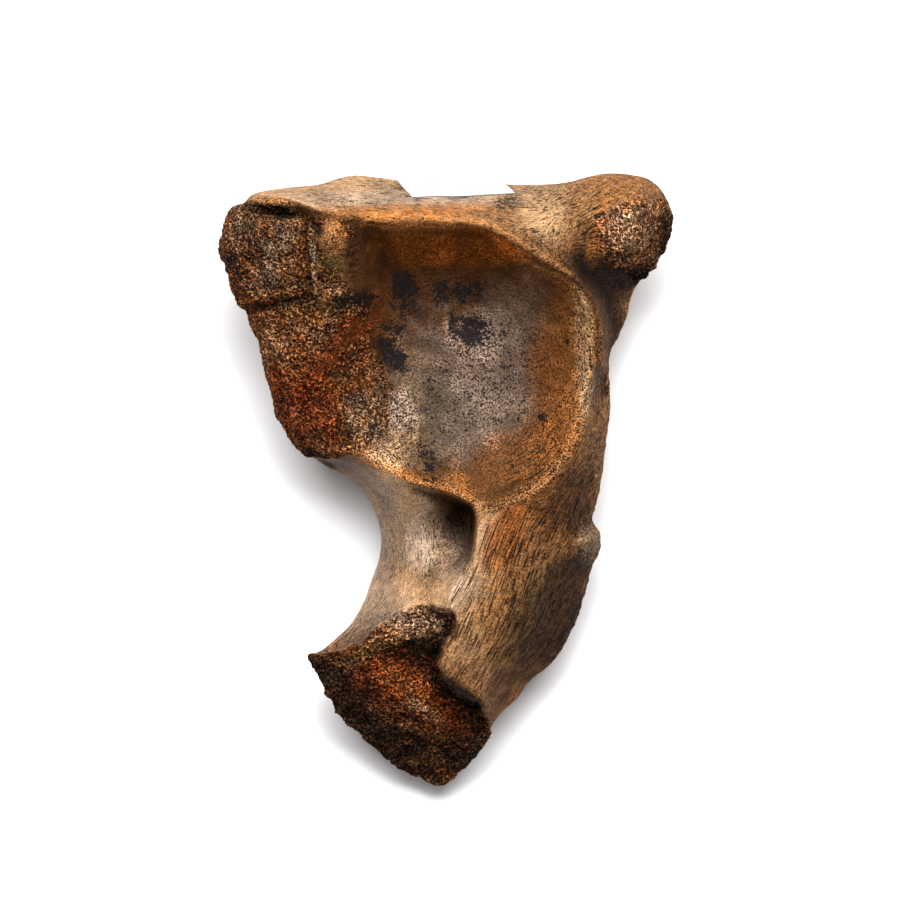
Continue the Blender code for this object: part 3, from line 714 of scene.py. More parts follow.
@dataclass
class Plate:
    """The bone as a plate of two surfaces that meet at the silhouette."""

    relief: Relief
    spacing: float = 1.7
    rim_rows: tuple[float, ...] = (0.2, 0.6, 1.3, 2.2)
    least_depth: float = 0.6
    loop_steps: int = 12
    shares: tuple[float, ...] = (-1.0, -0.4, 0.0, 0.4, 1.0)
    loop_gap: float = 0.3
    row_gap: float = 0.7

    def build(self) -> tuple[np.ndarray, list[tuple[int, ...]]]:
        """Make the plate.

        Returns:
            Its points in millimetres, and its faces.
        """
        rim = self.relief.rim()
        places = np.vstack([rim[:, :2], self._inner(rim)])
        edges = [(i, (i + 1) % len(rim)) for i in range(len(rim))]
        corners = [Vector(place) for place in places]
        spots, _, faces, *_ = delaunay_2d_cdt(corners, edges, [], INSIDE_ONLY, CLOSE)
        places = np.array(spots)
        upper, lower = self.relief.skins(places, rim)
        count = len(rim)
        upper[:count] = rim[:, 2]
        lower_index = [i if i < count else len(places) + i - count for i in range(len(places))]
        points = np.vstack([np.c_[places, upper], np.c_[places, lower][count:]])
        top_faces = [tuple(face) for face in faces]
        under_faces = [tuple(lower_index[i] for i in reversed(face)) for face in top_faces]
        return points, top_faces + under_faces

    def _inner(self, rim: np.ndarray) -> np.ndarray:
        """Places for the inner points: by the silhouette, along the loops, and across the plan.

        Args:
            rim: The silhouette's line.

        Returns:
            Rows of x and y.
        """
        border = np.vstack([rim[:, :2] + depth * self._inward(rim) for depth in self.rim_rows])
        loops = (self.relief.table_loop, self.relief.canal_loop, self.relief.end_loop)
        along = np.vstack([self._rows_along(loop) for loop in loops])
        across = self._rows_across(rim)
        gaps = [0.0] * len(border)
        gaps += [self.loop_gap * self.spacing] * len(along)
        gaps += [self.row_gap * self.spacing] * len(across)
        places = self._keep_apart(np.vstack([border, along, across]), gaps)
        distance, _ = nearest_on(rim, places, True)
        return places[inside(rim, places) & (distance > self.least_depth * self.rim_rows[0])]

    def _inward(self, rim: np.ndarray) -> np.ndarray:
        """The direction into the bone at each point of the silhouette.

        Args:
            rim: The silhouette's line.

        Returns:
            Rows of x and y, each of length 1.
        """
        inward = sideways(rim)
        first = rim[:1, :2] + self.rim_rows[0] * inward[:1]
        return inward if inside(rim, first)[0] else -inward

    def _rows_along(self, loop: Marks) -> np.ndarray:
        """Places along both sides of a loop, so that edges follow the change of height."""
        line = curve_through(loop, self.loop_steps, True)
        return np.vstack([line[:, :2] + share * line[:, 2:3] * sideways(line) for share in self.shares])

    def _rows_across(self, rim: np.ndarray) -> np.ndarray:
        """Places in rows across the plan, every second row shifted by half.

        Args:
            rim: The silhouette's line.

        Returns:
            Rows of x and y.
        """
        low, high = rim[:, :2].min(axis=0), rim[:, :2].max(axis=0)
        rows = np.arange(low[1], high[1], self.spacing * math.sqrt(0.75))
        return np.array([
            (x, y)
            for row, y in enumerate(rows)
            for x in np.arange(low[0] + (row % 2) * self.spacing / 2, high[0], self.spacing)
        ])

    @staticmethod
    def _keep_apart(places: np.ndarray, gaps: list[float]) -> np.ndarray:
        """Keep the places, in order, that have no kept place nearer than their gap.

        Args:
            places: Rows of x and y in millimetres.
            gaps: Each place's own gap in millimetres.

        Returns:
            The kept places.
        """
        cell = max(gaps)
        kept: dict[tuple[int, int], list[np.ndarray]] = {}
        chosen = []
        for place, gap in zip(places, gaps):
            column, row = math.floor(place[0] / cell), math.floor(place[1] / cell)
            near = [
                other
                for i in (column - 1, column, column + 1)
                for j in (row - 1, row, row + 1)
                for other in kept.get((i, j), ())
            ]
            if all(math.dist(place, other) > gap for other in near):
                kept.setdefault((column, row), []).append(place)
                chosen.append(place)
        return np.array(chosen)


@dataclass(frozen=True)
class Patch:
    """A turned oval on the plan, with a ragged edge, where something is stronger."""

    x: float
    y: float
    long_half: float
    wide_half: float
    turn: float = 0.0
    strength: float = 1.0
    ragged: float = 0.35
    soft: float = 0.45

    def share(self, places: np.ndarray, rough: np.ndarray) -> np.ndarray:
        """How strong it is at each place.

        Args:
            places: Rows of x and y.
            rough: A rough pattern from about -1 to 1, which frays the edge.

        Returns:
            A share for each place, from 0 to the patch's strength.
        """
        along, across = turned(places, (self.x, self.y), self.turn)
        reach = np.hypot(along / self.long_half, across / self.wide_half)
        return self.strength * smoothstep(self.soft, -self.soft, reach - 1.0 + self.ragged * rough)


@dataclass(frozen=True)
class PaintPatch:
    """One patch of colour."""

    tint: Tint
    patch: Patch
    zone: Zone | None = None


def stains(zone: Zone | None, *rows: tuple) -> tuple[PaintPatch, ...]:
    """Stains, painted shade, painted shadow and painted highlight on one kind of surface, or on all, from
    rows of a colour and its patch's numbers.
    """
    return tuple(PaintPatch(tint, Patch(*numbers), zone) for tint, *numbers in rows)


def patches(*rows: tuple[float, ...]) -> tuple[Patch, ...]:
    """Patches from rows of their numbers."""
    return tuple(Patch(*numbers) for numbers in rows)


STAINS_AND_PAINTED_LIGHT = (
    # The flank above the cup, from left to right
    *stains(
        Zone.OUTSIDE,
        (Tint.SAND, 400, 195, 190, 24, 0.0, 0.85), (Tint.PALE, 410, 200, 100, 9, 0.0, 0.5),
        (Tint.OLIVE, 505, 203, 20, 9, 0.2, 0.6), (Tint.SAND, 550, 218, 26, 26, 0.4, 0.8),
        (Tint.TAN, 580, 214, 16, 40, -0.3, 0.7), (Tint.TAN, 622, 192, 56, 26, 0.0, 0.95),
        # The umber and dark patches below the knob are darker bone, with painted shade on its steep
        # underside
        (Tint.BROWN, 630, 190, 46, 22, 0.0, 0.65), (Tint.UMBER, 602, 304, 32, 60, 0.2, 1.0),
        (Tint.DARK, 596, 285, 18, 42, 0.2, 0.85), (Tint.TAN, 626, 310, 6, 20, 0.2, 0.7),
    ),
    # The knob's rough face
    *stains(Zone.SPONGE, (Tint.TAN, 632, 232, 44, 40, 0.0, 0.9), (Tint.SAND, 622, 226, 28, 28, 0.0, 0.8)),
    *stains(
        None,
        (Tint.AMBER, 598, 236, 9, 30, -0.25, 0.6), (Tint.DARK, 668, 238, 9, 38, 0.0, 0.85),
        # The dark band along the knob's underside is painted shade on darker bone
        (Tint.DARK, 634, 277, 44, 13, -0.1, 0.95),
    ),
    # Painted shade on darker bone below the knob
    *stains(Zone.OUTSIDE, (Tint.UMBER, 604, 320, 26, 44, 0.2, 0.8)),
    # The cup, its dark upper wall first
    *stains(
        Zone.CUP,
        (Tint.BROWN, 460, 340, 160, 140, 0.0, 0.85), (Tint.FLAME, 440, 241, 110, 24, 0.0, 0.9),
        (Tint.OCHRE, 380, 250, 36, 30, 0.0, 0.6), (Tint.UMBER, 372, 274, 26, 22, 0.0, 0.8),
        (Tint.UMBER, 376, 312, 44, 28, 0.0, 0.85), (Tint.BROWN, 415, 335, 50, 60, 0.0, 0.85),
        (Tint.LILAC, 474, 388, 64, 70, 0.5, 1.0), (Tint.PALE, 466, 420, 46, 36, 0.4, 0.5),
        (Tint.GREY, 420, 400, 40, 50, 0.2, 0.6), (Tint.PALE, 500, 330, 26, 26, 0.5, 0.4),
        (Tint.LILAC, 520, 310, 40, 30, -0.6, 0.4), (Tint.AMBER, 556, 370, 22, 74, -0.1, 0.8),
        (Tint.OCHRE, 552, 350, 14, 60, -0.1, 0.4), (Tint.AMBER, 516, 453, 64, 26, 0.5, 0.7),
        (Tint.SAND, 584, 352, 9, 76, 0.05, 0.6), (Tint.TAN, 400, 229, 76, 7, 0.06, 0.9),
        (Tint.AMBER, 402, 230, 70, 6, 0.06, 0.7),
    ),
    *stains(Zone.OUTSIDE, (Tint.TAN, 404, 219, 90, 9, 0.04, 0.8), (Tint.AMBER, 400, 214, 96, 8, 0.04, 0.7)),
    *stains(
        None,
        (Tint.AMBER, 400, 229, 76, 6, 0.05, 0.5), (Tint.LILAC, 403, 414, 15, 24, 0.1, 0.95),
        (Tint.PALE, 404, 412, 10, 18, 0.1, 0.5), (Tint.SAND, 402, 452, 32, 20, 0.3, 0.95),
        # The thin amber band along the lip's crest is a painted highlight
        (Tint.AMBER, 392, 470, 60, 6, -0.35, 0.5),
    ),
    # The neck and the ridge beside it
    *stains(
        Zone.CANAL,
        # Painted light on the neck: the pale streak down its middle is a painted highlight, the lilac strip
        # at its left edge and the pale patch low on its left are painted reflections of the floor and
        # lights, and the lilac patch in the pocket is painted light bounced into it
        (Tint.SAND, 410, 550, 60, 110, 0.0, 1.0), (Tint.LILAC, 382, 545, 7, 60, 0.0, 0.3),
        (Tint.PALE, 423, 538, 15, 42, -0.1, 0.95), (Tint.TAN, 412, 586, 24, 22, 0.0, 0.6),
        (Tint.PALE, 380, 606, 40, 18, 0.3, 0.25), (Tint.LILAC, 456, 545, 16, 40, 0.0, 0.8),
        (Tint.SAND, 350, 620, 30, 18, 0.6, 0.4),
    ),
    *stains(
        Zone.OUTSIDE,
        (Tint.PALE, 462, 592, 44, 14, 0.9, 0.75), (Tint.SAND, 484, 560, 16, 70, -0.25, 0.8),
        (Tint.TAN, 492, 635, 40, 62, -0.4, 0.75), (Tint.BROWN, 496, 650, 30, 50, -0.4, 0.4),
        (Tint.SAND, 468, 655, 22, 40, 0.2, 0.3), (Tint.BROWN, 466, 684, 28, 22, -0.5, 0.5),
        (Tint.OCHRE, 506, 528, 16, 50, -0.4, 0.85), (Tint.RUST, 516, 505, 15, 14, 0.3, 0.4),
        (Tint.BROWN, 560, 505, 40, 40, -0.3, 0.9), (Tint.UMBER, 568, 500, 22, 30, -0.3, 0.5),
        (Tint.UMBER, 552, 612, 30, 70, -0.5, 0.95), (Tint.OLIVE, 530, 600, 16, 60, -0.5, 0.3),
        # The dark strip along the silhouette is painted shade on dark brown bone
        (Tint.DARK, 572, 632, 12, 52, -0.5, 0.7), (Tint.GREY, 590, 543, 13, 18, 0.0, 0.9),
        (Tint.TAN, 600, 400, 12, 74, 0.0, 0.5),
    ),
    # The broken side
    *stains(
        Zone.SPONGE,
        (Tint.BROWN, 300, 330, 110, 140, 0.0, 0.8), (Tint.UMBER, 248, 240, 26, 40, 0.0, 0.4),
        (Tint.GREY, 280, 252, 18, 44, -0.5, 0.65), (Tint.GREY, 245, 235, 18, 26, 0.0, 0.45),
        (Tint.OCHRE, 278, 297, 26, 8, 0.1, 0.6), (Tint.OLIVE, 320, 300, 50, 24, 0.0, 0.6),
        (Tint.TAN, 290, 335, 44, 22, 0.0, 0.6),
    ),
    *stains(
        None,
        (Tint.RUST, 346, 340, 12, 44, -0.75, 0.9, 0.9, 0.8),
        (Tint.UMBER, 342, 350, 9, 26, -0.6, 0.6, 0.9, 0.8),
    ),
    *stains(
        Zone.SPONGE,
        (Tint.RUST, 300, 410, 50, 36, -0.4, 0.5), (Tint.GREY, 372, 415, 24, 28, 0.0, 0.75),
        # The dark strip is painted shade in the crevice under the upper edge
        (Tint.DARK, 268, 208, 44, 7, -0.15, 0.85),
    ),
    *stains(
        None,
        # The dark and umber lines and spots here are painted shade: in the two cracks, in the crevice under
        # the upper edge, beside the boss, and under the rim's edge
        (Tint.DARK, 309, 258, 3, 34, 0.05, 0.7), (Tint.DARK, 280, 306, 38, 4, 0.2, 0.8),
        (Tint.DARK, 285, 215, 10, 7, 0.0, 0.9), (Tint.TAN, 337, 236, 20, 17, 0.0, 0.8),
        (Tint.BROWN, 337, 240, 22, 26, 0.0, 0.35), (Tint.OCHRE, 344, 232, 8, 10, 0.0, 0.35),
        (Tint.OLIVE, 334, 268, 17, 14, 0.0, 0.9), (Tint.SAND, 333, 291, 13, 5, 0.5, 0.7),
        (Tint.UMBER, 358, 250, 12, 34, 0.1, 0.95), (Tint.DARK, 362, 236, 7, 16, 0.1, 0.5),
        (Tint.DARK, 317, 228, 10, 5, -0.8, 0.9), (Tint.UMBER, 340, 219, 22, 4, -0.25, 0.6),
        (Tint.PALE, 315, 262, 2.5, 24, 0.1, 0.7), (Tint.PALE, 331, 289, 11, 4, -0.5, 0.6),
    ),
    *stains(Zone.SPONGE, (Tint.DARK, 320, 460, 40, 6, -0.2, 0.7)),
    # The broken end
    *stains(
        Zone.SPONGE,
        (Tint.DARK, 400, 700, 130, 100, 0.0, 0.95), (Tint.BROWN, 410, 700, 62, 30, -0.62, 0.7),
        (Tint.RUST, 402, 680, 72, 27, -0.55, 0.6), (Tint.OCHRE, 412, 688, 44, 18, -0.55, 0.7),
        (Tint.OLIVE, 370, 648, 40, 10, 0.5, 0.8),
    ),
    # Painted shadow cast by the ridge's tip on to the broken end
    *stains(None, (Tint.DARK, 459, 693, 34, 10, -0.62, 1.0, 0.2)),
    *stains(
        Zone.SPONGE,
        # The dark line is painted shadow under the broken lip's overhang
        (Tint.DARK, 425, 640, 26, 4, 0.1, 0.8), (Tint.TAN, 412, 622, 42, 15, 0.3, 0.95),
        (Tint.SAND, 420, 620, 34, 13, 0.2, 0.95), (Tint.PALE, 415, 619, 30, 9, 0.2, 0.7),
        (Tint.TAN, 425, 704, 26, 9, -0.7, 0.4), (Tint.SAND, 425, 712, 22, 6, -0.62, 0.6),
    ),
)
BLOTS = patches(
    # A few blots are painted shade rather than stains: the one at 356, 301 in the step, those at 427, 458
    # and 430, 478 in the crevice by the lip, and the one at 233, 262 in a notch of the left side
    (405, 289, 13, 19, 0.1, 0.9), (404, 306, 15, 9, 0.0, 0.8), (440, 293, 9, 13, 0.0, 0.9),
    (466, 291, 18, 12, 0.0, 0.85), (453, 328, 4.5, 18, 0.15, 0.95), (476, 331, 17, 17, 0.4, 0.95),
    (356, 301, 24, 9, 0.1, 0.8), (392, 353, 14, 22, 0.6, 0.9), (391, 330, 13, 8, 0.2, 0.8),
    (565, 342, 6, 4), (543, 417, 4, 6), (427, 458, 7, 20, 0.3, 0.8), (430, 478, 9, 8, 0.0, 0.8),
    (233, 262, 7, 16, 0.2, 0.8), (309, 452, 9, 6, 0.0, 0.8), (505, 204, 14, 6, 0.1, 0.5),
    (520, 350, 30, 30, 0.0, 0.3), (500, 400, 40, 30, 0.0, 0.3), (440, 400, 20, 40, 0.0, 0.3),
)
SPECKS = patches(
    (486, 378, 66, 60, 0.3, 0.85), (470, 320, 90, 30, 0.0, 0.5), (560, 370, 30, 90, 0.0, 0.4),
    (402, 412, 16, 20, 0.0, 1.0), (600, 400, 14, 90, 0.0, 1.0), (560, 500, 60, 50, 0.0, 0.8),
    (430, 198, 200, 20, 0.0, 0.45), (640, 190, 40, 16, 0.0, 0.4), (440, 590, 60, 40, 0.0, 0.3),
    (460, 560, 12, 30, 0.0, 0.5), (340, 240, 24, 30, 0.0, 0.8), (430, 440, 50, 60, 0.0, 0.5),
    (550, 600, 50, 80, -0.4, 0.6), (400, 220, 110, 10, 0.0, 0.6),
)
SLITS = patches(
    (490, 600, 44, 120, -0.3, 1.0), (426, 548, 12, 42, -0.05, 1.0), (570, 225, 54, 54, 0.0, 0.9),
    (560, 480, 60, 60, 0.0, 1.0), (600, 400, 20, 90, 0.0, 0.9), (400, 195, 190, 24, 0.0, 0.7),
    (342, 636, 34, 12, 0.5, 1.0), (560, 600, 50, 90, -0.4, 0.9), (450, 545, 12, 50, 0.0, 0.5),
)
RUGGED = patches(
    (338, 248, 24, 44, 0.0, 1.0), (575, 500, 50, 60, 0.0, 0.8), (590, 545, 20, 26, 0.0, 1.0),
    (550, 620, 50, 70, -0.5, 0.8), (604, 400, 14, 90, 0.0, 0.7), (402, 414, 22, 40, 0.0, 0.6),
    (600, 300, 40, 50, 0.0, 0.4), (400, 220, 100, 9, 0.0, 0.8), (545, 262, 60, 12, -0.6, 0.6),
)


@dataclass
class Surface:
    """What lies where on the bone."""

    relief: Relief
    ragged: Lumps = Lumps(1.0, 7.0, 3)
    side_fray: float = 1.2
    knob_fray: float = 3.0
    facing: tuple[float, float] = (-0.5, -0.1)
    break_edge: tuple[float, float] = (-0.5, 0.5)
    knob_edge: tuple[float, float] = (-1.5, 1.5)
    smooth_edge: tuple[float, float] = (-0.5, 1.0)
    wing_border: float = 345
    ring_radius: float = 45.0
    side_loop: Marks = (
        (210, 222), (226, 212), (240, 206), (262, 204), (290, 211), (320, 219), (345, 224), (356, 236),
        (352, 262), (347, 282), (358, 298), (374, 314), (370, 338), (378, 356), (386, 372), (393, 388),
        (390, 405), (389, 420), (384, 434), (372, 443), (352, 453), (330, 457), (308, 458), (276, 470),
        (225, 380), (200, 280),
    )
    knob_loop: Marks = (
        (596, 222), (606, 208), (628, 204), (650, 200), (668, 204), (684, 225), (676, 262), (650, 284),
        (630, 278), (612, 268), (600, 245),
    )
    smooth_streak: Patch = Patch(350, 336, 11, 38, -0.75, 0.6, 0.9, 0.8)
    boss_skin: Patch = Patch(337, 244, 19, 34, 0.1, 0.8, 0.6, 0.5)
    neck_flow: Sheet = Sheet((
        (365, 495, 0), (381, 537, 0), (378, 565, 0), (362, 606, 0), (330, 645, 0), (410, 495, 42),
        (415, 540, 40), (412, 580, 42), (398, 612, 45), (470, 505, 95), (474, 535, 92), (463, 571, 88),
        (447, 600, 88),
    ))
    ridge_flow: Sheet = Sheet((
        (445, 690, 0), (470, 645, 0), (487, 600, 0), (501, 555, 0), (522, 508, 0), (555, 465, 0),
        (585, 425, 0), (600, 380, 0), (490, 705, 45), (520, 655, 45), (547, 602, 45), (568, 545, 45),
        (588, 490, 42), (603, 430, 20), (609, 385, 12), (535, 680, 72), (568, 622, 72), (588, 565, 68),
        (600, 500, 55), (474, 560, -20), (476, 525, -28), (455, 600, -20), (440, 640, -18),
    ))
    wing_flow: Sheet = Sheet((
        (250, 185, -20), (350, 182, -20), (450, 184, -20), (530, 186, -18), (250, 200, -4), (350, 200, -4),
        (450, 205, -3), (500, 212, 0), (548, 238, 20), (575, 210, 14), (600, 185, 10), (640, 180, 12),
        (575, 232, 35), (600, 225, 38), (640, 222, 38), (578, 255, 55), (600, 262, 60), (640, 262, 62),
        (595, 290, 75), (610, 320, 85), (628, 300, 78),
    ))

    def zones(self, points: np.ndarray, normals: np.ndarray) -> dict[Zone, np.ndarray]:
        """How much of each kind of surface every point has, from 0 to 1.

        Args:
            points: Rows of x, y and z in millimetres.
            normals: The direction that each point faces.

        Returns:
            The shares of each zone.
        """
        places = points[:, :2]
        ragged = self.relief.grain.clouds(points, self.ragged)
        above = smoothstep(*self.facing, normals[:, 2])
        side = smoothstep(*self.break_edge, depth_in(self.side_loop, places)[0] + self.side_fray * ragged)
        side *= 1.0 - self.smooth_streak.share(places, ragged)
        side *= 1.0 - self.boss_skin.share(places, ragged)
        frayed = self.relief.strayed(places, self.relief.end_fray)
        end = smoothstep(*self.break_edge, depth_in(self.relief.end_loop, places)[0] + frayed)
        knob = smoothstep(*self.knob_edge, depth_in(self.knob_loop, places)[0] + self.knob_fray * ragged)
        sponge = np.maximum(np.maximum(side, end), knob) * above
        cup = smoothstep(*self.smooth_edge, depth_in(self.relief.table_loop, places)[0])
        cup = cup * (1 - sponge) * above
        canal = smoothstep(*self.smooth_edge, depth_in(self.relief.canal_loop, places)[0])
        canal = canal * (1 - sponge) * (1 - cup) * above
        outside = np.clip(1 - sponge - cup - canal, 0.0, 1.0)
        return {Zone.SPONGE: sponge, Zone.CUP: cup, Zone.CANAL: canal, Zone.OUTSIDE: outside}

    def rugged(self, points: np.ndarray) -> np.ndarray:
        """How lumpy the skin is at each point, from 0 to 1."""
        return np.max([one.share(points[:, :2], np.zeros(len(points))) for one in RUGGED], axis=0)

    def flow(self, points: np.ndarray, zones: dict[Zone, np.ndarray]) -> np.ndarray:
        """Each point's place measured across the bone's grain, along it, and upwards.

        Args:
            points: Rows of x, y and z in millimetres.
            zones: The shares of each zone.

        Returns:
            Rows of the three measures in millimetres.
        """
        places = points[:, :2]
        x, y = places.T
        across = self.ridge_flow.heights(places) * PLAN.unit
        along = (y - x) * math.sqrt(0.5)
        wing = y > PLAN.places([(0, self.wing_border)])[0, 1]
        across[wing] = self.wing_flow.heights(places[wing]) * PLAN.unit
        along[wing] = x[wing]
        neck = zones[Zone.CANAL] > 0.5
        across[neck] = self.neck_flow.heights(places[neck]) * PLAN.unit
        along[neck] = y[neck]
        cup = zones[Zone.CUP] > 0.5
        away = places[cup] - PLAN.places([self.relief.cup_middle])[0]
        across[cup] = np.hypot(*away.T)
        along[cup] = self.ring_radius * np.arctan2(away[:, 1], away[:, 0])
        return np.c_[across, along, points[:, 2]]


@dataclass(frozen=True)
class Ramp:
    """A smooth step: values from low to high come out as values from start to end."""

    low: float
    high: float
    start: float = 0.0
    end: float = 1.0


@dataclass(frozen=True)
class Noise:
    """A shader's soft random pattern: lumps in a step, layers of finer ones, and the step on each axis."""

    scale: float
    detail: float
    steps: tuple[float, float, float] | None = None


@dataclass
class NodeGraph:
    """A small helper that adds and joins a material's nodes."""

    tree: bpy.types.NodeTree

    def add(self, kind: str, inputs: dict | None = None, **settings: object) -> bpy.types.Node:
        """Add a node.

        Args:
            kind: The node's type.
            inputs: Values or sockets for its inputs, by name or number.
            **settings: The node's own settings.

        Returns:
            The new node.
        """
        node = self.tree.nodes.new(kind)
        for name, value in settings.items():
            setattr(node, name, value)
        for key, value in (inputs or {}).items():
            self.feed(node.inputs[key], value)
        return node

    def feed(self, socket: bpy.types.NodeSocket, value: object) -> None:
        """Set an input, or join it to another node's output.

        Args:
            socket: The input.
            value: A value or an output.
        """
        if isinstance(value, bpy.types.NodeSocket):
            self.tree.links.new(value, socket)
        else:
            socket.default_value = value

    def math(self, operation: str, first: object, second: object = 0.0, clamp: bool = False) -> object:
        """Join a sum or other operation, and return its result."""
        node = self.add("ShaderNodeMath", {0: first, 1: second}, operation=operation, use_clamp=clamp)
        return node.outputs[0]

    def plus(self, first: object, *others: object) -> object:
        """The sum of values.

        Args:
            first: The first value.
            *others: What is added, in order.

        Returns:
            The sum.
        """
        for other in others:
            first = self.math("ADD", first, other)
        return first

    def scale(self, first: object, *others: object) -> object:
        """The product of values.

        Args:
            first: The first value.
            *others: What multiplies it, in order.

        Returns:
            The product.
        """
        for other in others:
            first = self.math("MULTIPLY", first, other)
        return first

    def minus(self, first: object, second: object) -> object:
        """The first value less the second."""
        return self.math("SUBTRACT", first, second)

    def rest(self, value: object) -> object:
        """What a value leaves of 1."""
        return self.minus(1.0, value)

    def centred(self, value: object) -> object:
        """A value from 0 to 1, moved to lie round 0."""
        return self.minus(value, 0.5)

    def split(self, colour: object) -> tuple:
        """The red, green and blue parts of a colour."""
        return tuple(self.add("ShaderNodeSeparateColor", {0: colour}).outputs)

    def noise(self, where: object, kind: Noise, output: str = "Fac") -> object:
        """A soft random pattern from 0 to 1, or one in colour.

        Args:
            where: Places.
            kind: The pattern.
            output: Which of the node's outputs to take.

        Returns:
            The pattern's value or colour.
        """
        if kind.steps:
            where = self.stretched(where, kind.steps)
        node = self.add("ShaderNodeTexNoise", {"Vector": where, "Scale": kind.scale, "Detail": kind.detail})
        return node.outputs[output]

    def vector_math(self, operation: str, first: object, second: object) -> object:
        """Join an operation on places, and return its result."""
        return self.add("ShaderNodeVectorMath", {0: first, 1: second}, operation=operation).outputs[0]

    def scaled(self, where: object, factor: float) -> object:
        """Places multiplied by one factor."""
        return self.vector_math("MULTIPLY", where, (factor,) * 3)

    def stretched(self, where: object, sizes: tuple[float, float, float]) -> object:
        """Places measured in steps of the given sizes along each axis."""
        return self.vector_math("MULTIPLY", where, tuple(1.0 / size for size in sizes))

    def attribute(self, name: str) -> bpy.types.Node:
        """Read one of the mesh's own painted layers."""
        return self.add("ShaderNodeAttribute", attribute_name=name)

    def blend(self, share: object, first: object, second: object, mode: str = "MIX") -> object:
        """Mix two colours.

        Args:
            share: How much of the second there is.
            first: A colour.
            second: A colour.
            mode: How they mix.

        Returns:
            The mixed colour.
        """
        node = self.add("ShaderNodeMix", data_type="RGBA", blend_type=mode)
        for number, value in zip(MIX_INPUTS, (share, first, second)):
            self.feed(node.inputs[number], value)
        return node.outputs[MIX_OUTPUT]

    def tinted(self, colour: object, gain: object) -> object:
        """A colour multiplied by another."""
        return self.blend(1.0, colour, gain, "MULTIPLY")

    def shaded(self, colour: object, shade: object) -> object:
        """A colour made darker or lighter by a value."""
        grey = self.add("ShaderNodeCombineColor", {0: shade, 1: shade, 2: shade}).outputs[0]
        return self.tinted(colour, grey)

    def step(self, value: object, ramp: Ramp) -> object:
        """A value taken through a smooth step.

        Args:
            value: What goes in.
            ramp: The step.

        Returns:
            What comes out.
        """
        node = self.add(
            "ShaderNodeMapRange",
            {
                "Value": value,
                "From Min": ramp.low,
                "From Max": ramp.high,
                "To Min": ramp.start,
                "To Max": ramp.end,
            },
            interpolation_type="SMOOTHSTEP",
        )
        return node.outputs["Result"]


def new_material(name: str) -> tuple[bpy.types.Material, NodeGraph, bpy.types.Node]:
    """A material, the helper for its nodes, and its shader.

    Args:
        name: The material's name.

    Returns:
        The material, the helper and the shader's node.
    """
    material = bpy.data.materials.new(name)
    material.use_nodes = True
    return material, NodeGraph(material.node_tree), material.node_tree.nodes["Principled BSDF"]


@dataclass(frozen=True)
class Patterns:
    """What the bone's finish is mixed from: places, the painted colour, shares of 1, and a tone round 1."""

    where: object
    tint: object
    cup: object
    outside: object
    sponge: object
    polish: object
    rough: object
    grit: object
    fibre: object
    streaks: object
    tone: object
    webs: object
    slits: object
    specks: object
    blots: object
    pits: object


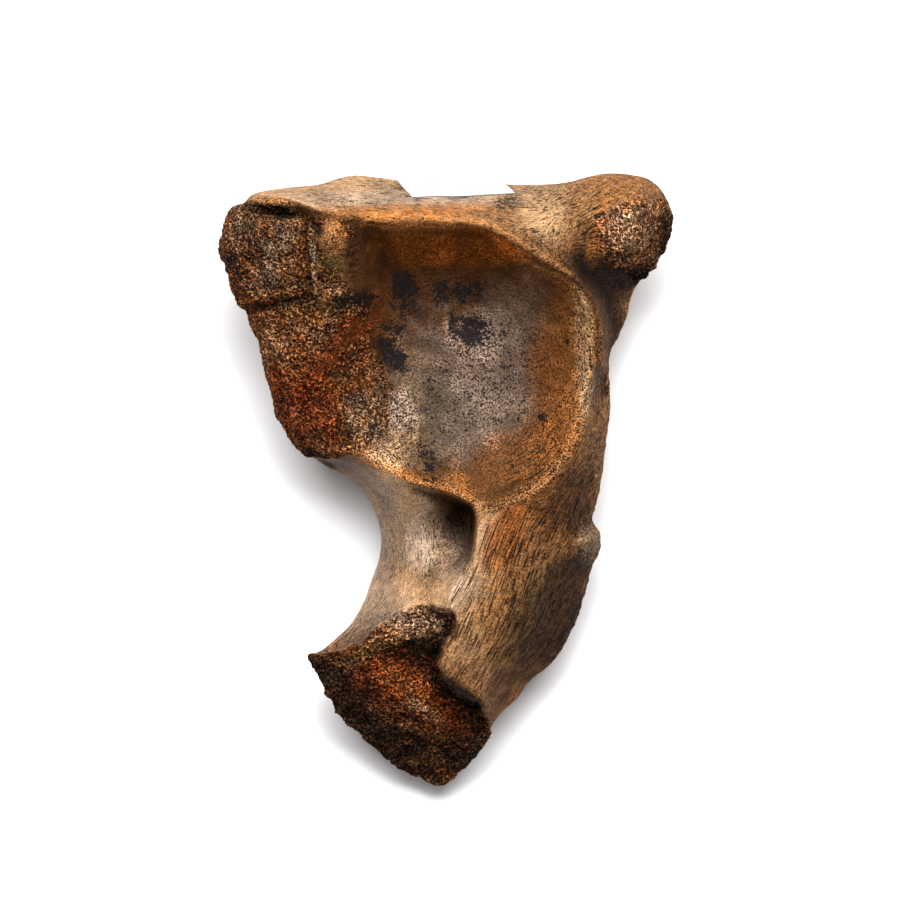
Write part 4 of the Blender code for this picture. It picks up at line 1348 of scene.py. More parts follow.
@dataclass(frozen=True)
class BoneFinish:
    """Dry fossil bone: painted stains and painted light and shade, with webs, slits, specks and grit from
    patterns.

    Patterns are measured in millimetres. Three steps go across the bone's grain, along it, and upwards.
    """

    # What the patterns look like
    rough: Noise = Noise(0.7, 3.0)
    grit: Noise = Noise(1.0, 2.0, (0.8, 0.8, 0.8))
    fibre: Noise = Noise(1.0, 1.0, (0.55, 2.6, 1.2))
    streaks: Noise = Noise(1.0, 2.5, (1.0, 9.0, 4.0))
    mottle: Noise = Noise(0.17, 4.0)
    patches: Noise = Noise(0.12, 3.0)
    warmth: Noise = Noise(0.085, 3.0)
    pits: Noise = Noise(1.0, 2.0)
    grain_edge: Ramp = Ramp(0.38, 0.62)
    pit_edge: Ramp = Ramp(0.355, 0.315)
    sponge_edge: Ramp = Ramp(0.44, 0.56)
    sponge_fray: float = 0.9

    # The web of the sponge: the size and the walls of its coarse and fine cells
    webs: tuple[tuple[float, Ramp], ...] = (
        (1.5, Ramp(0.04, 0.09, 1.0, 0.0)),
        (1.0, Ramp(0.04, 0.10, 0.55, 0.0)),
    )
    web_stretch: float = 1.3
    web_warp: Noise = Noise(0.5, 2.0)
    web_bend: float = 1.3
    web_wear: Ramp = Ramp(0.40, 0.58, 0.1, 1.0)

    # Slits, specks and blots
    slits: Noise = Noise(1.0, 1.5, (0.55, 8.0, 2.0))
    slit_level: Ramp = Ramp(0.0, 1.0, 0.76, 0.59)
    slit_edge: Ramp = Ramp(0.0, 0.03)
    speck_size: float = 1.3
    speck_crowds: Noise = Noise(0.16, 2.0)
    crowd_level: Ramp = Ramp(0.35, 0.65, 0.5, 1.1)
    speck_chance: float = 0.75
    speck_growth: float = 1.2
    speck_limit: float = 0.42
    speck_wobble: Noise = Noise(1.4, 1.0)
    wobble_reach: float = 0.7
    speck_edge: Ramp = Ramp(-0.05, 0.05)
    speck_fade: Ramp = Ramp(0.0, 0.05)
    blot_patches: Noise = Noise(0.3, 2.0)
    blot_spots: Noise = Noise(1.0, 3.0)
    patch_reach: float = 1.8
    spot_reach: float = 2.8
    blot_edge: Ramp = Ramp(0.58, 0.70)
    blot_fade: Ramp = Ramp(0.02, 0.2)

    # How much the patterns lighten and darken the skin
    mottle_tone: Ramp = Ramp(0.3, 0.7, 0.84, 1.16)
    rough_tone: Ramp = Ramp(0.3, 0.7, 0.92, 1.08)
    streak_tone: Ramp = Ramp(0.3, 0.7, -0.09, 0.09)
    streak_share: Ramp = Ramp(0.0, 1.0, 0.4, 1.0)
    fibre_share: Ramp = Ramp(0.0, 1.0, 0.48, 0.1)
    grit_share: Ramp = Ramp(0.0, 1.0, 0.5, 1.1)
    cup_contrast: Ramp = Ramp(0.03, 0.20, 0.5, 1.6)
    other_contrast: Ramp = Ramp(0.16, 0.33, 1.8, 1.0)
    least_shade: float = 0.1
    slit_tone: Ramp = Ramp(0.0, 1.0, 1.0, 0.2)
    pit_tone: Ramp = Ramp(0.0, 1.0, 1.03, 0.5)

    # The sponge's colours
    cream: Rgba = (0.56, 0.43, 0.33, 1.0)
    cream_share: Ramp = Ramp(0.006, 0.045, 0.04, 0.34)
    web_gain: Rgba = (4.3, 4.05, 3.8, 1.0)
    hollow_gain: Rgba = (0.14, 0.065, 0.025, 1.0)
    hollow_least: float = 0.25
    hollow_grit: float = 1.5
    patch_tone: Ramp = Ramp(0.36, 0.64, 0.66, 1.35)
    grit_tone: Ramp = Ramp(0.0, 1.0, 0.85, 1.15)
    warm_edge: Ramp = Ramp(0.42, 0.6)
    warm_gain: Rgba = (1.10, 0.88, 0.66, 1.0)

    # The colours of specks and blots, and how much they cover
    speck_colour: Rgba = (0.010, 0.008, 0.007, 1.0)
    speck_cover: float = 0.92
    blot_colour: Rgba = (0.007, 0.0065, 0.007, 1.0)
    blot_cover: float = 0.95

    # Shine
    specular: float = 0.06
    roughness: float = 0.8
    sponge_roughness: float = 0.95
    polish_roughness: float = 0.44
    cup_polish: float = 0.5
    polish_fill: float = 0.7

    # Fine heights, in millimetres
    bump: float = 1.0
    polish_calm: float = 0.5
    grit_height: float = 0.16
    rough_height: float = 1.0
    fibre_height: float = 0.06
    streak_height: float = 0.2
    streak_least: float = 0.2
    web_height: float = 0.9
    slit_depth: float = 0.5
    speck_depth: float = 0.25
    pit_depth: float = 0.35

    def build(self) -> bpy.types.Material:
        """Make the material.

        Returns:
            The material.
        """
        material, graph, shader = new_material("fossil_bone")
        parts = self._patterns(graph)
        skin = self._skin_colour(graph, parts)
        colour = graph.blend(parts.sponge, skin, self._sponge_colour(graph, parts))
        colour = graph.blend(graph.scale(parts.specks, self.speck_cover), colour, self.speck_colour)
        colour = graph.blend(graph.scale(parts.blots, self.blot_cover), colour, self.blot_colour)
        height = self._height(graph, parts)
        bump = graph.add("ShaderNodeBump", {"Height": height, "Strength": self.bump, "Distance": MM})
        graph.feed(shader.inputs["Base Color"], colour)
        graph.feed(shader.inputs["Roughness"], self._dullness(graph, parts))
        graph.feed(shader.inputs["Specular IOR Level"], self.specular)
        graph.feed(shader.inputs["Normal"], bump.outputs["Normal"])
        return material

    def _patterns(self, graph: NodeGraph) -> Patterns:
        """Read the painted layers, and set up the patterns.

        Args:
            graph: The material's node helper.

        Returns:
            The patterns and painted layers.
        """
        where = graph.scaled(graph.add("ShaderNodeTexCoord").outputs["Object"], 1.0 / MM)
        flow = graph.attribute("flow").outputs["Vector"]
        broken, cup, outside = graph.split(graph.attribute("zones").outputs["Color"])
        blots, specks, slits = graph.split(graph.attribute("marks").outputs["Color"])
        canal = graph.rest(graph.plus(broken, cup, outside))
        polish = graph.plus(graph.scale(cup, self.cup_polish), graph.math("MAXIMUM", canal, 0.0))
        rough = graph.noise(where, self.rough)
        ragged = graph.scale(graph.centred(rough), self.sponge_fray)
        sponge = graph.step(graph.plus(broken, ragged), self.sponge_edge)
        skin = graph.rest(sponge)
        mottled = graph.step(graph.noise(where, self.mottle), self.mottle_tone)
        pitted = graph.step(graph.noise(where, self.pits), self.pit_edge)
        return Patterns(
            where=where,
            tint=graph.attribute("tint").outputs["Color"],
            cup=cup,
            outside=outside,
            sponge=sponge,
            polish=polish,
            rough=rough,
            grit=graph.step(graph.noise(where, self.grit), self.grain_edge),
            fibre=graph.step(graph.noise(flow, self.fibre), self.grain_edge),
            streaks=graph.noise(flow, self.streaks),
            tone=graph.scale(mottled, graph.step(rough, self.rough_tone)),
            webs=self._webs(graph, where, rough),
            slits=graph.scale(self._slits(graph, flow, slits), skin),
            specks=self._specks(graph, where, specks),
            blots=self._blots(graph, where, blots),
            pits=graph.scale(pitted, skin, graph.rest(graph.scale(polish, self.polish_fill))),
        )

    def _skin_colour(self, graph: NodeGraph, parts: Patterns) -> object:
        """The painted colour, shaded by the skin's fine grain, slits and pits.

        Args:
            graph: The material's node helper.
            parts: The patterns and painted layers.

        Returns:
            The skin's colour.
        """
        red = graph.split(parts.tint)[0]
        in_cup = graph.scale(parts.cup, graph.step(red, self.cup_contrast))
        elsewhere = graph.scale(graph.rest(parts.cup), graph.step(red, self.other_contrast))
        streaked = graph.step(parts.streaks, self.streak_tone)
        streaked = graph.scale(streaked, graph.step(parts.outside, self.streak_share))
        lined = graph.scale(graph.centred(parts.fibre), graph.step(parts.cup, self.fibre_share))
        even = graph.scale(graph.centred(parts.grit), graph.step(parts.cup, self.grit_share))
        fine = graph.scale(graph.plus(lined, even), graph.plus(in_cup, elsewhere))
        shade = graph.scale(
            parts.tone,
            graph.plus(1.0, streaked),
            graph.math("MAXIMUM", graph.plus(1.0, fine), self.least_shade),
            graph.step(parts.slits, self.slit_tone),
            graph.step(parts.pits, self.pit_tone),
        )
        return graph.shaded(parts.tint, shade)

    def _sponge_colour(self, graph: NodeGraph, parts: Patterns) -> object:
        """Pale webs over dark hollows, in lighter, darker and warmer patches.

        Args:
            graph: The material's node helper.
            parts: The patterns and painted layers.

        Returns:
            The sponge's colour.
        """
        blue = graph.split(parts.tint)[2]
        light = graph.blend(
            graph.step(blue, self.cream_share), graph.tinted(parts.tint, self.web_gain), self.cream
        )
        dark = graph.tinted(parts.tint, self.hollow_gain)
        dark = graph.shaded(dark, graph.plus(self.hollow_least, graph.scale(parts.grit, self.hollow_grit)))
        patchy = graph.step(graph.noise(parts.where, self.patches), self.patch_tone)
        depth = graph.scale(patchy, parts.tone, graph.step(parts.grit, self.grit_tone))
        webbed = graph.shaded(graph.blend(parts.webs, dark, light), depth)
        warmth = graph.step(graph.noise(parts.where, self.warmth), self.warm_edge)
        return graph.blend(warmth, webbed, graph.tinted(webbed, self.warm_gain))

    def _dullness(self, graph: NodeGraph, parts: Patterns) -> object:
        """The shader's roughness: more in the sponge, and less where the bone is polished.

        Args:
            graph: The material's node helper.
            parts: The patterns and painted layers.

        Returns:
            The roughness.
        """
        dull = graph.scale(parts.sponge, self.sponge_roughness - self.roughness)
        sheen = graph.scale(parts.polish, self.roughness - self.polish_roughness)
        return graph.minus(graph.plus(self.roughness, dull), sheen)

    def _height(self, graph: NodeGraph, parts: Patterns) -> object:
        """The fine height that the patterns add up to.

        Args:
            graph: The material's node helper.
            parts: The patterns and painted layers.

        Returns:
            The height in millimetres.
        """
        calm = graph.rest(graph.scale(parts.polish, self.polish_calm))
        gritty = graph.scale(parts.grit, self.grit_height)
        even = graph.plus(gritty, graph.scale(parts.rough, self.rough_height))
        outer = graph.plus(parts.outside, self.streak_least)
        streaked = graph.scale(parts.streaks, self.streak_height, outer)
        height = graph.plus(graph.scale(even, calm), graph.scale(parts.fibre, self.fibre_height), streaked)
        hollow = graph.scale(graph.rest(parts.webs), parts.sponge)
        for pattern, drop in (
            (hollow, self.web_height),
            (parts.slits, self.slit_depth),
            (parts.specks, self.speck_depth),
            (parts.pits, self.pit_depth),
        ):
            height = graph.minus(height, graph.scale(pattern, drop))
        return height

    def _webs(self, graph: NodeGraph, where: object, rough: object) -> object:
        """1 on the thin walls of the sponge, and 0 in the hollows between.

        Args:
            graph: The material's node helper.
            where: Places.
            rough: The rough pattern, which wears gaps into the walls.

        Returns:
            The walls' strength.
        """
        bend = graph.scaled(graph.noise(where, self.web_warp, "Color"), self.web_bend)
        bent = graph.vector_math("ADD", where, bend)
        coarse, fine = (
            graph.step(
                graph.add(
                    "ShaderNodeTexVoronoi",
                    {"Vector": graph.stretched(bent, (size * self.web_stretch, size, size)), "Scale": 1.0},
                    feature="DISTANCE_TO_EDGE",
                ).outputs["Distance"],
                wall,
            )
            for size, wall in self.webs
        )
        return graph.scale(graph.math("MAXIMUM", coarse, fine), graph.step(rough, self.web_wear))

    def _slits(self, graph: NodeGraph, flow: object, strength: object) -> object:
        """Dark slits that run along the bone's grain, 0 where there are none."""
        level = graph.step(strength, self.slit_level)
        return graph.step(graph.minus(graph.noise(flow, self.slits), level), self.slit_edge)

    def _specks(self, graph: NodeGraph, where: object, strength: object) -> object:
        """Small dark dots, thick where the painted layer says so.

        Args:
            graph: The material's node helper.
            where: Places.
            strength: The painted layer.

        Returns:
            The dots' strength.
        """
        cells = graph.add("ShaderNodeTexVoronoi", {"Vector": where, "Scale": 1.0 / self.speck_size})
        chance = graph.split(cells.outputs["Color"])[0]
        crowd = graph.step(graph.noise(where, self.speck_crowds), self.crowd_level)
        size = graph.minus(graph.scale(strength, self.speck_chance, crowd), chance)
        size = graph.math("MINIMUM", graph.scale(size, self.speck_growth), self.speck_limit)
        wobble = graph.scale(graph.centred(graph.noise(where, self.speck_wobble)), self.wobble_reach)
        reach = graph.plus(cells.outputs["Distance"], wobble)
        dots = graph.step(graph.minus(size, reach), self.speck_edge)
        return graph.scale(dots, graph.step(size, self.speck_fade))

    def _blots(self, graph: NodeGraph, where: object, strength: object) -> object:
        """Blue-black stains, and black painted shade in a few crevices and notches, frayed into spots at
        their edges.

        Args:
            graph: The material's node helper.
            where: Places.
            strength: The painted layer.

        Returns:
            The stains' strength.
        """
        wide = graph.scale(graph.centred(graph.noise(where, self.blot_patches)), self.patch_reach)
        spots = graph.scale(graph.centred(graph.noise(where, self.blot_spots)), self.spot_reach)
        level = graph.plus(strength, graph.plus(wide, spots))
        return graph.scale(graph.step(level, self.blot_edge), graph.step(strength, self.blot_fade))


@dataclass(frozen=True)
class PaperFinish:
    """Matt white label paper with a faint fibre, its white darkened to grey as painted shade."""

    # Painted shade: the white paper is coloured grey
    colour: Rgba = (0.41, 0.42, 0.45, 1.0)
    dirt_colour: Rgba = (0.38, 0.37, 0.37, 1.0)
    dirt: Noise = Noise(90.0, 4.0)
    dirt_edge: Ramp = Ramp(0.45, 0.75)
    roughness: float = 0.75
    fibre: Noise = Noise(900.0, 3.0)
    bump: float = 0.15
    bump_height: float = 0.0001

    def build(self) -> bpy.types.Material:
        """Make the material.

        Returns:
            The material.
        """
        material, graph, shader = new_material("label_paper")
        where = graph.add("ShaderNodeTexCoord").outputs["Object"]
        fibre = graph.noise(where, self.fibre)
        dirt = graph.step(graph.noise(where, self.dirt), self.dirt_edge)
        bump = graph.add(
            "ShaderNodeBump", {"Height": fibre, "Strength": self.bump, "Distance": self.bump_height}
        )
        graph.feed(shader.inputs["Base Color"], graph.blend(dirt, self.colour, self.dirt_colour))
        graph.feed(shader.inputs["Roughness"], self.roughness)
        graph.feed(shader.inputs["Normal"], bump.outputs["Normal"])
        return material


def add_object(name: str, points: np.ndarray, faces: list[tuple[int, ...]]) -> bpy.types.Object:
    """Add an object of the given points, in metres, and faces.

    Args:
        name: The object's name.
        points: Rows of x, y and z in metres.
        faces: Rows of point numbers.

    Returns:
        The object.
    """
    mesh = bpy.data.meshes.new(name)
    mesh.from_pydata([tuple(p) for p in points], [], faces)
    thing = bpy.data.objects.new(name, mesh)
    bpy.context.collection.objects.link(thing)
    return thing


def settle(thing: bpy.types.Object) -> None:
    """Work the object's modifiers into its mesh.

    Args:
        thing: The object.
    """
    bpy.context.view_layer.update()
    graph = bpy.context.evaluated_depsgraph_get()
    mesh = bpy.data.meshes.new_from_object(thing.evaluated_get(graph), depsgraph=graph)
    old = thing.data
    thing.modifiers.clear()
    thing.data = mesh
    bpy.data.meshes.remove(old)


def points_of(mesh: bpy.types.Mesh) -> np.ndarray:
    """The mesh's points in millimetres.

    Args:
        mesh: The mesh.

    Returns:
        Rows of x, y and z.
    """
    flat = np.empty(len(mesh.vertices) * 3)
    mesh.vertices.foreach_get("co", flat)
    return flat.reshape(-1, 3) / MM


def normals_of(mesh: bpy.types.Mesh) -> np.ndarray:
    """The direction that each of the mesh's points faces.

    Args:
        mesh: The mesh.

    Returns:
        Rows of x, y and z.
    """
    flat = np.empty(len(mesh.vertices) * 3, np.float32)
    mesh.vertex_normals.foreach_get("vector", flat)
    return flat.reshape(-1, 3).astype(float)


@dataclass
class FossilBone:
    """The bone: its skin, the detail pressed into it, and its painted layers."""

    relief: Relief = field(default_factory=Relief)
    finish: BoneFinish = field(default_factory=BoneFinish)
    voxel: float = 1.0
    soften_share: float = 0.5
    soften_rounds: int = 3
    refine_from: float = 0.3
    face_limit: int = 196_000

    # Crags and wells of the broken faces, and the unevenness of the skin
    crag_height: float = 0.9
    crag_ridges: Lumps = Lumps(0.7, 8.0, 3)
    crag_clouds: Lumps = Lumps(1.0, 14.0, 2)
    well_depth: float = 0.8
    well_size: float = 1.9
    well_edge: tuple[float, float] = (0.7, 0.2)
    well_warp: Lumps = Lumps(0.8, 3.0, 2)
    well_fields: Lumps = Lumps(1.0, 8.0, 2, 60.0)
    field_edge: tuple[float, float] = (-0.5, 0.5)
    wall_height: float = 0.3
    wall_edge: tuple[float, float] = (0.25, 0.0)
    swellings: Lumps = Lumps(0.3, 16.0, 3, 40.0)
    rugged_ridges: Lumps = Lumps(0.35, 6.0, 2, 70.0)
    rugged_clouds: Lumps = Lumps(0.3, 3.5, 2)
    foot_band: tuple[float, float] = (0.3, 4.0)

    # The painted colours
    paint_strength: float = 0.72
    patch_frays: tuple[Lumps, ...] = (
        Lumps(1.0, 7.0, 4),
        Lumps(1.0, 4.5, 4, 31.7),
        Lumps(1.0, 10.0, 4, 63.4),
    )
    mottle: Lumps = Lumps(0.5, 24.0, 4, 90.0)
    facing: tuple[float, float] = (-0.4, 0.2)
    band_waves: float = 2.6
    band_sway: float = 5.0
    band_reach: tuple[float, float] = (15.0, 6.0)
    band_start: tuple[float, float] = (0.0, 1.0)
    band_strength: float = 0.7
    # Crests painted lighter and hollows darker: painted light and painted shade, and also wear and dirt
    shade_and_wear_strength: float = 0.6
    shade_and_wear_pull: float = 0.6
    shade_and_wear_heights: tuple[tuple[int, float], ...] = ((4, 0.25), (39, 0.9))

    def __post_init__(self) -> None:
        """Set up what is worked out from the relief."""
        self.grain = self.relief.grain
        self.surface = Surface(self.relief)
        self.shift = np.zeros(3)

    def build(self) -> bpy.types.Object:
        """Make the bone and lay it on its frame.

        Returns:
            The bone's object.
        """
        points, faces = Plate(self.relief).build()
        thing = add_object("fossil_bone", points * MM, faces)
        remesh = thing.modifiers.new("even_skin", "REMESH")
        remesh.mode = "VOXEL"
        remesh.voxel_size = self.voxel * MM
        soften = thing.modifiers.new("soften", "SMOOTH")
        soften.factor = self.soften_share
        soften.iterations = self.soften_rounds
        settle(thing)
        LOG.info("bone skin: %d faces", len(thing.data.polygons))
        self._refine(thing)
        self._press(thing)
        self._thin(thing)
        self._set_down(thing)
        self._paint(thing)
        thing.data.materials.append(self.finish.build())
        thing.data.shade_smooth()
        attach(thing, "root")
        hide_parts("bone")
        LOG.info("fossil_bone: %d faces", len(thing.data.polygons))
        return thing

    def _refine(self, thing: bpy.types.Object) -> None:
        """Halve the faces of the broken, spongy areas.

        Args:
            thing: The bone's object.
        """
        mesh = thing.data
        sponge = self.surface.zones(points_of(mesh), normals_of(mesh))[Zone.SPONGE]
        body = bmesh.new()
        body.from_mesh(mesh)
        chosen = {
            edge
            for face in body.faces
            if all(sponge[corner.index] > self.refine_from for corner in face.verts)
            for edge in face.edges
        }
        bmesh.ops.subdivide_edges(body, edges=list(chosen), cuts=1, use_grid_fill=True)
        body.to_mesh(mesh)
        body.free()
        LOG.info("bone refined: %d faces", len(mesh.polygons))

    def _press(self, thing: bpy.types.Object) -> None:
        """Press crags, pores and a gentle unevenness into the skin.

        Args:
            thing: The bone's object.
        """
        mesh = thing.data
        points = points_of(mesh)
        normals = normals_of(mesh)
        sponge = self.surface.zones(points, normals)[Zone.SPONGE]
        crags = self.grain.ridges(points, self.crag_ridges) + self.grain.clouds(points, self.crag_clouds)
        warped = points + self.grain.clouds(points, self.well_warp)[:, None]
        first, second = self.grain.cells(warped, self.well_size)
        open_share = smoothstep(*self.field_edge, self.grain.clouds(points, self.well_fields))
        wells = -self.well_depth * open_share * smoothstep(*self.well_edge, first)
        walls = self.wall_height * smoothstep(*self.wall_edge, second - first)
        lumpy = self.grain.ridges(points, self.rugged_ridges) + self.grain.clouds(points, self.rugged_clouds)
        gentle = self.grain.clouds(points, self.swellings) + self.surface.rugged(points) * lumpy
        lift = sponge * (self.crag_height * crags + wells + walls) + (1 - sponge) * gentle
        lift *= smoothstep(*self.foot_band, points[:, 2])
        moved = (points + normals * lift[:, None]) * MM
        mesh.vertices.foreach_set("co", moved.ravel())
        mesh.update()

    def _thin(self, thing: bpy.types.Object) -> None:
        """Thin the mesh to the face limit, where it is smoothest.

        Args:
            thing: The bone's object.
        """
        count = sum(len(face.vertices) - 2 for face in thing.data.polygons)
        LOG.info("bone pressed: %d triangles", count)
        if count > self.face_limit:
            thin = thing.modifiers.new("thin", "DECIMATE")
            thin.ratio = self.face_limit / count
            thin.use_collapse_triangulate = True
            settle(thing)

    def _set_down(self, thing: bpy.types.Object) -> None:
        """Move the skin to the frame's place, flat on its pads.

        Args:
            thing: The bone's object.
        """
        rim = self.relief.rim()
        middle = (rim[:, :2].min(axis=0) + rim[:, :2].max(axis=0)) / 2
        points = points_of(thing.data)
        points[:, :2] -= middle
        points[:, 2] = np.maximum(points[:, 2] - self.relief.flat_cut, 0.0)
        self.shift = np.array([middle[0], middle[1], self.relief.flat_cut])
        thing.data.vertices.foreach_set("co", (points * MM).ravel())
        thing.data.update()

    def _paint(self, thing: bpy.types.Object) -> None:
        """Paint the stains with the painted light and shade, the zones, the marks and the run of the grain
        on the mesh.

        Args:
            thing: The bone's object.
        """
        mesh = thing.data
        points = points_of(mesh) + self.shift
        normals = normals_of(mesh)
        places = points[:, :2]
        zones = self.surface.zones(points, normals)
        frays = [self.grain.clouds(points, lumps) for lumps in self.patch_frays]
        mottle = 0.5 + self.grain.clouds(points, self.mottle)[:, None]
        colour = Tint.TAN.linear() + (Tint.BROWN.linear() - Tint.TAN.linear()) * mottle
        above = smoothstep(*self.facing, normals[:, 2])
        for number, one in enumerate(STAINS_AND_PAINTED_LIGHT):
            share = one.patch.share(places, frays[number % len(frays)]) * above
            if one.zone:
                share *= zones[one.zone]
            colour = colour + (one.tint.linear() - colour) * share[:, None]
        depth = depth_in(self.relief.end_loop, places)[0]
        bands = np.sin(self.band_waves * depth + self.band_sway * frays[0])
        bands = bands * smoothstep(*self.band_reach, depth) * zones[Zone.SPONGE]
        bands = self.band_strength * bands * smoothstep(*self.band_start, depth)
        colour = colour * (1.0 + bands)[:, None]
        # Crests lightened and hollows darkened: painted light and painted shade, and also wear and dirt
        colour = colour * (1.0 + self.shade_and_wear_strength * self._cavity_shade_and_wear(mesh)[:, None])
        layers = [
            np.max([one.share(places, frays[i % len(frays)]) for i, one in enumerate(marks)], axis=0) * above
            for marks in (BLOTS, SPECKS, SLITS)
        ]
        self._layer(mesh, "tint", np.clip(colour * self.paint_strength, 0.0, 1.0))
        self._layer(mesh, "zones", np.c_[zones[Zone.SPONGE], zones[Zone.CUP], zones[Zone.OUTSIDE]])
        self._layer(mesh, "marks", np.c_[tuple(layers)])
        self._layer(mesh, "flow", self.surface.flow(points, zones))

    def _cavity_shade_and_wear(self, mesh: bpy.types.Mesh) -> np.ndarray:
        """1 on sharp crests and -1 in hollows: painted light on crests and painted shade in hollows, also
        standing for worn pale crests and dirt held in hollows.

        Args:
            mesh: The bone's mesh.

        Returns:
            The painted light and shade, with the wear, at each point.
        """
        full_heights = dict(self.shade_and_wear_heights)
        points = points_of(mesh)
        normals = normals_of(mesh)
        ends = np.empty(len(mesh.edges) * 2, np.int32)
        mesh.edges.foreach_get("vertices", ends)
        first, second = ends.reshape(-1, 2).T
        joins = np.maximum(np.bincount(ends, minlength=len(points)), 1)[:, None]
        total = np.zeros(len(points))
        smooth = points.copy()
        for step in range(max(full_heights) + 1):
            sums = np.column_stack([
                np.bincount(first, smooth[second, axis], len(points))
                + np.bincount(second, smooth[first, axis], len(points))
                for axis in range(3)
            ])
            smooth = (1.0 - self.shade_and_wear_pull) * smooth + self.shade_and_wear_pull * sums / joins
            if step in full_heights:
                height = ((points - smooth) * normals).sum(axis=1)
                total += np.clip(height / full_heights[step], -1.0, 1.0) / len(full_heights)
        return total

    @staticmethod
    def _layer(mesh: bpy.types.Mesh, name: str, colours: np.ndarray) -> None:
        """Write one painted layer."""
        layer = mesh.color_attributes.new(name, "FLOAT_COLOR", "POINT")
        layer.data.foreach_set("color", np.c_[colours, np.ones(len(colours))].ravel())


@dataclass
class PaperLabel:
    """A blank paper label pressed on to the bone's flank."""

    width: float = 48.0
    height: float = 26.0
    thickness: float = 0.2
    gap: float = 0.25
    step: float = 0.8
    middle: tuple[float, float] = (456, 188)
    turn: float = math.radians(16.0)
    lean: float = math.radians(62.0)
    ray_height: float = 1.0
    ray_start: float = 0.05
    finish: PaperFinish = field(default_factory=PaperFinish)

    def build(self, bone: FossilBone, skin: bpy.types.Object) -> bpy.types.Object:
        """Make the label and press it on.

        Args:
            bone: The bone that it is stuck to.
            skin: The bone's finished object.

        Returns:
            The label's object.
        """
        mesh = skin.data
        faces = [tuple(face.vertices) for face in mesh.polygons]
        tree = BVHTree.FromPolygons([corner.co for corner in mesh.vertices], faces)
        outward = Vector((0.0, math.sin(self.lean), math.cos(self.lean)))
        across = Vector((1.0, 0.0, 0.0))
        down = outward.cross(across)
        wide = across * math.cos(self.turn) + down * math.sin(self.turn)
        tall = down * math.cos(self.turn) - across * math.sin(self.turn)
        spot = (PLAN.places([self.middle])[0] - bone.shift[:2]) * MM
        start = tree.ray_cast(Vector((spot[0], spot[1], self.ray_height)), Vector((0, 0, -1)))[0]
        columns, rows = round(self.width / self.step), round(self.height / self.step)
        points = []
        for lift in (self.gap, self.gap + self.thickness):
            for row in range(rows + 1):
                for column in range(columns + 1):
                    offset = wide * ((column / columns - 0.5) * self.width * MM)
                    offset += tall * ((row / rows - 0.5) * self.height * MM)
                    hit = tree.ray_cast(start + offset + outward * self.ray_start, -outward)[0]
                    points.append(hit + outward * (lift * MM))
        thing = add_object("paper_label", np.array(points), self._faces(columns, rows))
        thing.data.materials.append(self.finish.build())
        thing.data.shade_smooth()
        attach(thing, "root")
        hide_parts("label")
        LOG.info("paper_label: %d faces", len(thing.data.polygons))
        return thing

    @staticmethod
    def _faces(columns: int, rows: int) -> list[tuple[int, ...]]:
        """Faces of a closed sheet of two grids of points.

        Args:
            columns: How many faces wide it is.
            rows: How many faces high it is.

        Returns:
            Rows of point numbers.
        """
        width = columns + 1
        layer = width * (rows + 1)
        faces = []
        for row in range(rows):
            for column in range(columns):
                corner = row * width + column
                ring = (corner, corner + 1, corner + 1 + width, corner + width)
                faces.append(tuple(i + layer for i in ring))
                faces.append(tuple(reversed(ring)))
        border = list(range(columns))
        border += [columns + row * width for row in range(rows)]
        border += [rows * width + column for column in range(columns, 0, -1)]
        border += [row * width for row in range(rows, 0, -1)]
        for start, end in zip(border, border[1:] + border[:1]):
            faces.append((start, end, end + layer, start + layer))
        return faces


@dataclass(frozen=True)
class SoftLight:
    """A soft box, aimed at the bone."""

    name: str
    place: tuple[float, float, float]
    size: float
    power: float

    def build(self, target: Vector) -> None:
        """Hang the light.

        Args:
            target: The point that it is aimed at.
        """
        lamp = bpy.data.lights.new(self.name, "AREA")
        lamp.shape = "SQUARE"
        lamp.size = self.size
        lamp.energy = self.power
        thing = bpy.data.objects.new(self.name, lamp)
        thing.location = self.place
        thing.rotation_euler = (target - Vector(self.place)).to_track_quat("-Z", "Y").to_euler()
        bpy.context.collection.objects.link(thing)


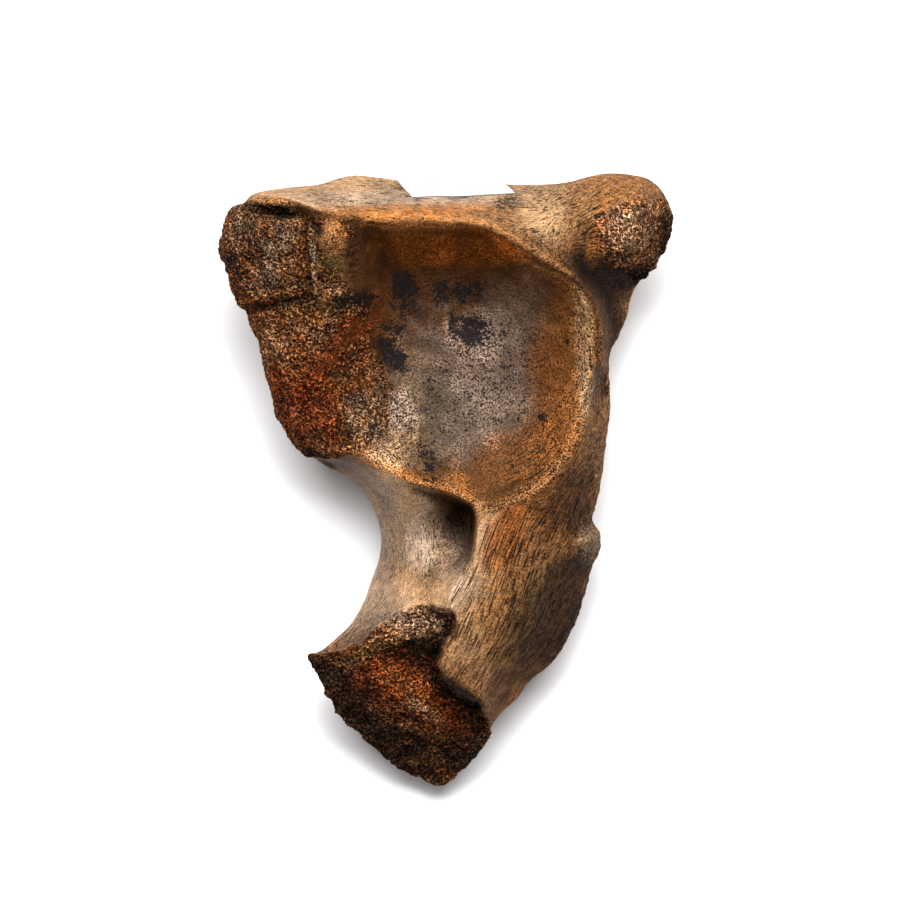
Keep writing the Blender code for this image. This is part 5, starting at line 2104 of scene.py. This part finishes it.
@dataclass
class Studio:
    """The pale floor, the soft lights, and the camera straight above."""

    frame_width: float = 0.405
    camera_height: float = 7.0
    focus_height: float = 0.06
    sensor: float = 36.0
    far_clip: float = 50.0
    picture_middle: tuple[float, float] = (450.0, 450.0)
    bone_middle: tuple[float, float] = (446.0, 480.0)
    floor_size: float = 12.0
    floor_colour: Rgba = (0.92, 0.92, 0.93, 1.0)
    floor_roughness: float = 0.9
    sky: float = 0.30
    sky_colour: Rgba = (0.97, 0.98, 1.0, 1.0)
    target: tuple[float, float, float] = (0.0, 0.0, 0.04)
    lights: tuple[SoftLight, ...] = (
        SoftLight("soft_box_left", (-0.38, 0.95, 1.85), 1.1, 46.0),
        SoftLight("soft_box_right", (0.38, 0.95, 1.85), 1.1, 52.0),
    )

    def build(self) -> None:
        """Set up the floor, the lights and the camera."""
        self._floor()
        self._sky()
        for light in self.lights:
            light.build(Vector(self.target))
        self._camera()
        bpy.context.scene.view_settings.view_transform = "Standard"

    def _floor(self) -> None:
        """Lay the floor."""
        half = self.floor_size / 2
        corners = np.array([(-half, -half, 0), (half, -half, 0), (half, half, 0), (-half, half, 0)])
        floor = add_object("floor", corners, [(0, 1, 2, 3)])
        material, graph, shader = new_material("pale_floor")
        graph.feed(shader.inputs["Base Color"], self.floor_colour)
        graph.feed(shader.inputs["Roughness"], self.floor_roughness)
        floor.data.materials.append(material)

    def _sky(self) -> None:
        """Light the studio evenly from all round."""
        world = bpy.data.worlds.new("studio")
        bpy.context.scene.world = world
        world.use_nodes = True
        background = world.node_tree.nodes["Background"]
        background.inputs["Color"].default_value = self.sky_colour
        background.inputs["Strength"].default_value = self.sky

    def _camera(self) -> None:
        """Hang the camera straight above the bone, with the wing up the picture."""
        lens = bpy.data.cameras.new("camera")
        lens.sensor_width = self.sensor
        distance = self.camera_height - self.focus_height
        lens.lens = self.sensor * distance / self.frame_width
        lens.clip_end = self.far_clip
        camera = bpy.data.objects.new("camera", lens)
        picture, bone = PLAN.places([self.picture_middle, self.bone_middle])
        middle = (picture - bone) * MM
        camera.location = (middle[0], middle[1], self.camera_height)
        bpy.context.collection.objects.link(camera)
        bpy.context.scene.camera = camera


def main() -> None:
    """Build the studio, the bone and its label."""
    logging.basicConfig(level=logging.INFO, format="%(message)s")
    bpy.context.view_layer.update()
    Studio().build()
    bone = FossilBone()
    skin = bone.build()
    PaperLabel().build(bone, skin)


if __name__ == "__main__":
    main()
